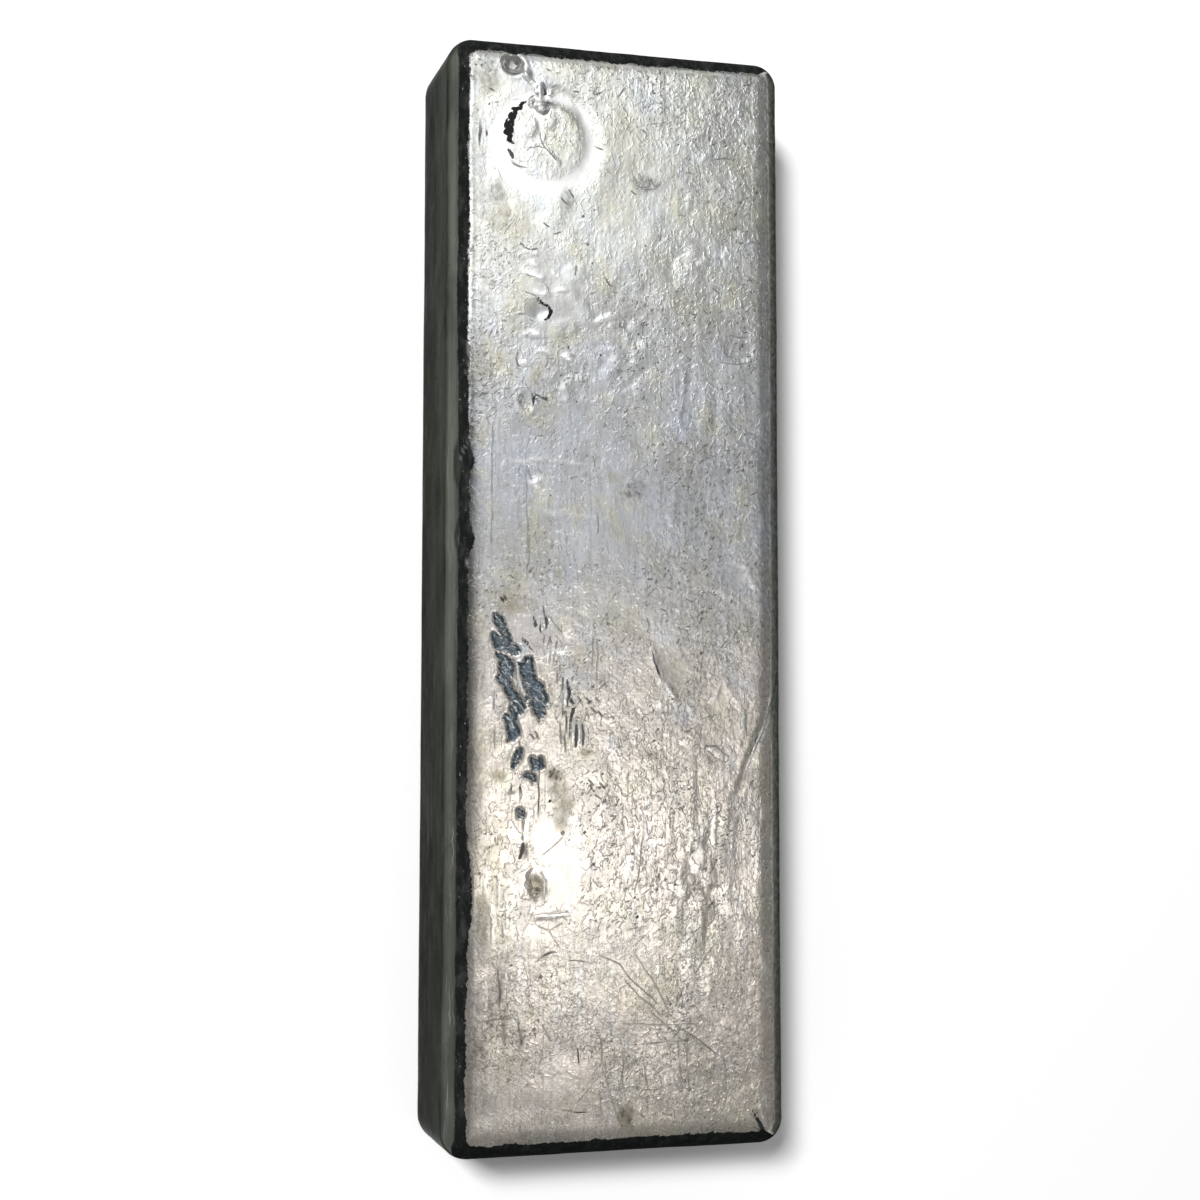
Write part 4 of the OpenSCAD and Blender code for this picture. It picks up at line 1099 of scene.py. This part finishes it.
class Textures:
    """Noises and marks that the colour, the gloss and the bump of the silver share."""

    def __init__(self, n):
        self.flat_place = n.add("ShaderNodeTexCoord").outputs["Object"]
        self.place = n.shifted(self.flat_place, 2.5, 0.5)
        self.along_bar = n.add("ShaderNodeSeparateXYZ", {0: self.flat_place}).outputs["Y"]
        self.pebble = n.noise(self.place, 0.58, 2.0, 0.45, (1, 1.3, 1), 20)
        self.lumps = n.noise(self.place, 2.2, 2.0, 0.5, (1, 1.4, 1))
        self.streaks = n.noise(self.place, 0.55, 2.0, 0.5, (1, 16, 1))
        self.blotches = n.noise(self.flat_place, 8.5, 4.0, 0.62, (1, 1.5, 1))
        self.films = n.noise(self.flat_place, 12, 3.0, 0.6, (1.0, 1.3, 1), 40)
        self.specks = n.noise(self.place, 0.35, 2.0, 0.6)
        self.dirt_and_shade, self.stain, self.polish, self.grain = (n.attribute(name) for name in Relief.SOFT)
        self.dark, self.torn = self.sharp_marks(n)
        self.short_ticks(n)
        self.near_crinkles(n)
        self.edge_and_walls(n)

    def sharp_marks(self, n):
        """Shares of the dark marks and of the torn skin, whose edges a fine noise makes ragged."""
        fine = n.centred(n.noise(self.place, 0.45, 2.0, 0.6))
        blot = n.plus(fine, 0.28, n.attribute("blot"))
        blot = n.product(n.step(blot, -0.05, 0.06, 1, 0), n.attribute("blot_dark"))
        torn_edge = n.centred(n.noise(self.place, 0.38, 3.0, 0.6, (2.6, 1, 1), -35))
        torn = n.step(n.plus(torn_edge, 1.6, n.attribute("torn")), -0.05, 0.05, 1, 0)
        lines = []
        for layer in range(2):
            gap = n.math("ABSOLUTE", n.plus(fine, 1.4, n.attribute(f"line_{layer}")))
            lines.append(n.product(n.step(gap, 0.7, 1.5, 1, 0), n.attribute(f"line_dark_{layer}")))
        return n.most(blot, n.most(*lines)), torn

    def short_ticks(self, n):
        """Short dark nicks in two directions, in the rough patches."""
        ticks = n.noise(self.place, 0.5, 1.5, 0.5, (1, 2.6, 1), -35)
        more_ticks = n.noise(self.flat_place, 0.45, 1.5, 0.5, (2.4, 1, 1), 15)
        self.ticks = n.most(n.step(ticks, 0.64, 0.70), n.step(more_ticks, 0.67, 0.73))
        self.busy = n.product(n.step(self.blotches, 0.6, 0.42), n.step(self.grain, 0.15, 0.5))

    def near_crinkles(self, n):
        """Net of fine creases at the near end."""
        self.crinkled = n.step(self.along_bar, -0.056, -0.072)
        creases = n.most(n.ridge(n.noise(self.place, 2.0, 3.0, 0.62, (1, 1.5, 1), 10), 0.014),
                         n.ridge(n.noise(self.flat_place, 1.2, 3.0, 0.62), 0.012))
        self.crinkles = n.product(creases, self.crinkled, n.step(self.films, 0.32, 0.52),
                                  n.step(self.grain, 0.12, 0.28, 0.35, 1))

    def edge_and_walls(self, n):
        """Shares of the dark rounded edge and of the walls, and of the painted shade on the skin by them."""
        edge_noise = n.centred(n.noise(self.place, 0.9, 3.0, 0.65))
        self.band = n.step(n.plus(edge_noise, 1.3, n.attribute("band")), -0.10, 0.10)
        self.wall = n.step(n.plus(edge_noise, 0.5, n.attribute("wall")), -0.12, 0.14)
        edge_shade = n.attribute("edge_shade")
        self.edge_shade = n.math("MULTIPLY", edge_shade, n.plus(edge_noise, 0.4, 1.0), clamp=True)
        self.dull = n.most(self.band, self.wall)


def face_colour(n, skin):
    """Silver, greenish at the far end, bluish in the middle and warm at the near end, with its dirt, painted
    shade in the hollows of its fine relief and painted highlights on its bumps.
    """
    tints = n.noise(skin.flat_place, 5.5, 4.0, 0.62, (1, 1.7, 1), 15)
    broad_streaks = n.noise(skin.place, 1.8, 2.0, 0.5, (1, 12, 1))
    bluish = n.product(n.step(tints, 0.47, 0.32, 0, 0.6), n.step(skin.along_bar, -0.05, 0.0, 0.3, 1))
    dull_streaks = n.product(n.step(skin.streaks, 0.5, 0.34, 0, 0.30), n.step(skin.lumps, 0.3, 0.6, 0.4, 1))
    colour = n.paint(
        (0.70, 0.725, 0.77),
        (n.step(skin.along_bar, 0.03, 0.062), (0.80, 0.82, 0.79)),
        (n.step(skin.along_bar, 0.016, -0.026), (0.84, 0.762, 0.68)),
        (n.step(tints, 0.53, 0.68, 0, 0.6), (0.80, 0.78, 0.60)),
        (bluish, (0.69, 0.745, 0.83)),
        (n.step(skin.blotches, 0.62, 0.38, 0, 0.42), (0.50, 0.49, 0.455)),
        (n.step(skin.films, 0.50, 0.66, 0, 0.35), (0.58, 0.55, 0.44)),
        (dull_streaks, (0.36, 0.35, 0.33)),
        (n.step(broad_streaks, 0.52, 0.68, 0, 0.25), (0.92, 0.91, 0.90)),
        # painted shade in the hollows of the pebbled skin, and painted glints on its bumps
        (n.product(n.step(skin.pebble, 0.45, 0.28, 0, 0.7), skin.grain), (0.27, 0.26, 0.215)),
        (n.product(n.step(skin.pebble, 0.58, 0.72, 0, 0.5), skin.grain), (0.93, 0.93, 0.92)),
    )
    speckled = n.product(n.step(skin.specks, 0.66, 0.74), n.step(skin.films, 0.42, 0.6), 0.7)
    stained = n.product(skin.stain, n.step(skin.lumps, 0.25, 0.65, 0.45, 1), 0.75)
    # dirt, and painted shade that is darkest in the skin's hollows
    dirt_and_shade_share = n.product(skin.dirt_and_shade, n.step(skin.pebble, 0.38, 0.6, 1, 0.35), 0.9)
    return n.paint(
        colour,
        (n.product(skin.ticks, skin.busy, 0.8), (0.13, 0.13, 0.11)),
        (n.product(skin.crinkles, 0.75), (0.18, 0.17, 0.145)),
        (speckled, (0.2, 0.18, 0.14)),
        (stained, (0.46, 0.41, 0.26)),
        (dirt_and_shade_share, (0.10, 0.10, 0.085)),
        # polish makes the metal smooth, and its near-white colour is a painted highlight
        (n.product(skin.polish, n.step(skin.dirt_and_shade, 0, 0.5, 1, 0)), (0.97, 0.97, 0.965)),
    )


def flake_colour(n, skin):
    """Torn skin: slate flakes with bright veins."""
    veins = n.ridge(n.noise(skin.place, 1.3, 2.0, 0.55, (3.2, 1, 1), -32), 0.026)
    return n.paint(
        (0.07, 0.10, 0.125),
        (n.step(skin.specks, 0.35, 0.7), (0.22, 0.25, 0.27)),
        (n.product(veins, 0.6), (0.80, 0.80, 0.79)),
    )


def band_colour(n, skin):
    """The rounded edge: nearly black, partly tarnish and partly painted shade, with painted glints, and
    blackest at the near end.
    """
    streaks = n.noise(skin.place, 0.5, 4.0, 0.65, (3, 7, 3))
    glints = n.product(n.step(n.noise(skin.place, 0.3, 2.0, 0.6, (1, 2.5, 1)), 0.68, 0.76), 0.45)
    return n.paint(
        (0.012, 0.013, 0.013),
        (n.step(streaks, 0.42, 0.75), (0.04, 0.042, 0.04)),
        # painted glints, and a painted highlight where the edge is polished
        (n.most(glints, n.product(skin.polish, 0.6)), (0.55, 0.55, 0.54)),
        (n.step(skin.along_bar, -0.088, -0.092, 0, 0.6), (0.006, 0.007, 0.007)),
    )


def wall_colour(n, skin):
    """The walls: dark grey, partly tarnish and partly painted shade, with level streaks and scratches, and a
    little rust.
    """
    streaks = n.noise(skin.flat_place, 0.7, 4.0, 0.7, (50, 50, 1))
    blotches = n.noise(skin.flat_place, 7, 3.0, 0.6, (3, 3, 1))
    scratches = n.step(n.noise(skin.place, 0.28, 2.0, 0.55, (45, 45, 1)), 0.62, 0.70)
    scratches = n.product(scratches, n.step(blotches, 0.40, 0.58), 0.5)
    rust = n.step(n.noise(skin.flat_place, 3.5, 2.0, 0.5, (1, 2, 1)), 0.69, 0.78, 0, 0.4)
    return n.paint(
        (0.138, 0.150, 0.128),
        # painted shade: the walls darken towards the foot
        (n.attribute("low"), (0.080, 0.083, 0.073)),
        (n.step(skin.along_bar, 0.03, -0.06, 0, 0.45), (0.05, 0.053, 0.047)),
        (n.step(streaks, 0.35, 0.65, 0.0, 0.5), (0.06, 0.064, 0.057)),
        (n.step(blotches, 0.55, 0.7, 0, 0.35), (0.18, 0.19, 0.17)),
        (n.step(blotches, 0.45, 0.3, 0, 0.5), (0.05, 0.052, 0.047)),
        (scratches, (0.34, 0.35, 0.33)),
        (rust, (0.13, 0.085, 0.06)),
    )


def bump_normal(n, skin):
    """Normal of the skin's finest relief, whose height is in millimetres."""
    height = n.product(n.centred(skin.pebble), n.plus(skin.grain, 0.034, 0.004))
    lump_height = n.product(n.plus(skin.grain, 0.07, 0.008), n.plus(skin.crinkled, -0.5, 1.0))
    height = n.plus(n.centred(skin.lumps), lump_height, height)
    height = n.plus(skin.crinkles, -0.03, height)
    height = n.plus(skin.streaks, n.product(skin.grain, 0.03), height)
    wrinkles = n.product(n.ridge(skin.lumps, 0.05), n.step(skin.pebble, 0.45, 0.55), skin.grain)
    height = n.plus(wrinkles, 0.03, height)
    # polish, the dark rounded edges and the walls smooth it out
    height = n.product(height, n.plus(skin.polish, -0.85, 1.0), n.plus(skin.dull, -0.4, 1.0))
    height = n.plus(n.product(skin.ticks, skin.busy), -0.05, height)
    height = n.plus(n.most(skin.dark, skin.torn), -0.08, height)
    return n.add("ShaderNodeBump", {"Strength": 1.0, "Distance": MM, "Height": height}).outputs[0]


# Share of a plain metal's reflection that the tarnished walls keep at a low angle
WALL_GRAZE = 0.25
# Colours of the sharp dark marks, some of them painted shadows, and of the painted shade on the skin by the
# edges
DARK_MARK = 0.022, 0.024, 0.024
EDGE_SHADE = 0.075, 0.081, 0.070


def silver_material():
    """Bright rough silver that turns dark on the rounded edges and the walls, partly as tarnish and partly as
    painted shade.
    """
    material = bpy.data.materials.new("cast_silver")
    n = Nodes(material)
    skin = Textures(n)
    colour = n.paint(
        face_colour(n, skin),
        (skin.torn, flake_colour(n, skin)),
        (skin.dark, DARK_MARK),
        # painted shade on the skin by the edges, then the dark band and walls, partly tarnish and partly
        # painted shade
        (skin.edge_shade, EDGE_SHADE),
        (skin.band, band_colour(n, skin)),
        (skin.wall, wall_colour(n, skin)),
    )
    roughness = n.plus(skin.dirt_and_shade, 0.25, n.step(skin.lumps, 0.3, 0.75, 0.11, 0.18))
    roughness = n.plus(skin.dull, 0.16, roughness)
    roughness = n.plus(skin.dark, 0.2, roughness)
    matt = n.most(n.most(skin.band, skin.dark), n.step(skin.edge_shade, 0.78, 0.93, 0, 0.5))
    matt = n.product(matt, n.math("SUBTRACT", 1.0, skin.wall))
    # the tarnished walls and the shaded skin by the edges mirror little, even at a low angle
    edge_tint = n.paint((1.0, 1.0, 1.0), (n.most(skin.wall, skin.edge_shade), (WALL_GRAZE,) * 3))
    shader = n.add("ShaderNodeBsdfPrincipled", {
        "Base Color": colour,
        "Metallic": n.plus(matt, -0.97, 1.0),
        "Roughness": roughness,
        "Specular IOR Level": 0.0,
        "Specular Tint": edge_tint,
        "Normal": bump_normal(n, skin),
    })
    n.add("ShaderNodeOutputMaterial", {"Surface": shader.outputs[0]})
    return material


ingot_skin.data.materials.append(silver_material())
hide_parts("ingot")
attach(ingot_skin, "root")


def seen_rays(n):
    """1 for rays from the camera, off a gloss or through glass, and 0 for the rays that light the scene."""
    path = n.add("ShaderNodeLightPath").outputs
    return n.most(n.most(path["Is Camera Ray"], path["Is Glossy Ray"]), path["Is Transmission Ray"])


# Floor: its half size, its brightness for light and for the eye, and where it turns plain white
FLOOR_HALF = 1500.0
FLOOR_LIT, FLOOR_SEEN = 0.8, 1.10
WHITE_FROM, WHITE_BY = 180.0, 460.0


def floor_material():
    """White floor that keeps the bar's shadow."""
    material = bpy.data.materials.new("floor_white")
    n = Nodes(material)
    seen = seen_rays(n)
    lit = n.add("ShaderNodeBsdfDiffuse", {"Color": n.paint((FLOOR_LIT,) * 3, (seen, (FLOOR_SEEN,) * 3))})
    white = n.add("ShaderNodeEmission", {"Color": (1, 1, 1, 1), "Strength": 1.0})
    away = n.length(n.add("ShaderNodeTexCoord").outputs["Object"])
    white_share = n.product(seen, n.step(away, WHITE_FROM * MM, WHITE_BY * MM))
    shader = n.add("ShaderNodeMixShader", {0: white_share, 1: lit.outputs[0], 2: white.outputs[0]})
    n.add("ShaderNodeOutputMaterial", {"Surface": shader.outputs[0]})
    material.cycles.emission_sampling = "NONE"
    return material


floor_corners = FLOOR_HALF * np.array([[-1.0, -1, 0], [1, -1, 0], [1, 1, 0], [-1, 1, 0]])
floor = make_mesh("floor", floor_corners, [[0, 1, 2, 3]])
floor.data.materials.append(floor_material())

# World: an even fill, which metal sees as a pale room with soft boxes overhead
FILL = 0.27
ROOM = 0.28
# Middle (run to the right and to the far side for each unit up), half widths, even share, and strength
SOFT_BOXES = (
    ((0.18, 0.10, 0), (0.45, 0.60), 0.0, 0.38),
    ((0.02, 0.50, 0), (0.35, 0.44), 0.35, 1.47),
    ((0.215, -0.09, 0), (0.17, 0.16), 0.0, 1.6),
    ((0.10, 1.05, 0), (0.80, 0.55), 0.3, 0.6),
    ((-0.40, 0.34, 0), (0.24, 0.24), 0.0, 3.0),
)
# Ways flatter than this count as this flat, and the room whitens between these two towards the floor
FLATTEST = 0.02
WHITE_UNDER, ROOM_OVER = 0.15, 0.40


def studio_world():
    """Room of even light, where what is seen directly or in a gloss has soft boxes."""
    world = bpy.data.worlds.new("studio")
    n = Nodes(world)
    way = n.add("ShaderNodeTexCoord").outputs["Generated"]
    up = n.most(n.add("ShaderNodeSeparateXYZ", {0: way}).outputs["Z"], FLATTEST)
    flat = {0: way, "Scale": n.math("DIVIDE", 1.0, up)}
    run = n.add("ShaderNodeVectorMath", flat, operation="SCALE").outputs[0]
    level = ROOM
    for middle, (half_x, half_y), even_share, strength in SOFT_BOXES:
        off = n.vector("MULTIPLY", n.vector("SUBTRACT", run, middle), (1 / half_x, 1 / half_y, 0))
        level = n.math("ADD", n.step(n.length(off), even_share, 1, strength, 0), level)
    level = n.math("ADD", n.step(up, WHITE_UNDER, ROOM_OVER, 1 - ROOM, 0), level)
    level = n.plus(seen_rays(n), n.math("SUBTRACT", level, FILL), FILL)
    sky = n.add("ShaderNodeBackground", {"Color": (1, 1, 1, 1), "Strength": level})
    n.add("ShaderNodeOutputWorld", {"Surface": sky.outputs[0]})
    return world


def area_lamp(name, place, size, watts):
    """Area lamp that faces the bar."""
    lamp = bpy.data.lights.new(name, "AREA")
    lamp.shape = "RECTANGLE"
    lamp.size, lamp.size_y = size[0] * MM, size[1] * MM
    lamp.energy = watts
    obj = bpy.data.objects.new(name, lamp)
    obj.location = Vector(place) * MM
    obj.rotation_euler = (-Vector(place)).to_track_quat("-Z", "Y").to_euler()
    # the metal mirrors the soft boxes of the world instead
    obj.visible_glossy = False
    bpy.context.scene.collection.objects.link(obj)


CAMERA_PLACE = (-70.084, -21.836, 308.384)
CAMERA_RIGHT = (0.973314, 0.000831, 0.229474)
CAMERA_UP = (-0.016457, 0.997671, 0.066191)
SENSOR_W = 36.0
LENS = 51.778


def photo_camera():
    """Camera at the place and angle of the photo."""
    data = bpy.data.cameras.new("camera")
    data.sensor_width = SENSOR_W
    data.lens = LENS
    data.clip_start = 0.01
    camera = bpy.data.objects.new("camera", data)
    right, up = Vector(CAMERA_RIGHT), Vector(CAMERA_UP)
    turned = Matrix((right, up, right.cross(up))).transposed().to_4x4()
    camera.matrix_world = Matrix.Translation(Vector(CAMERA_PLACE) * MM) @ turned
    bpy.context.scene.collection.objects.link(camera)
    return camera


bpy.context.scene.world = studio_world()
area_lamp("key", (-550, 432, 1290), (230, 265), 17.8)
bpy.context.scene.camera = photo_camera()
bpy.context.scene.view_settings.view_transform = "Standard"
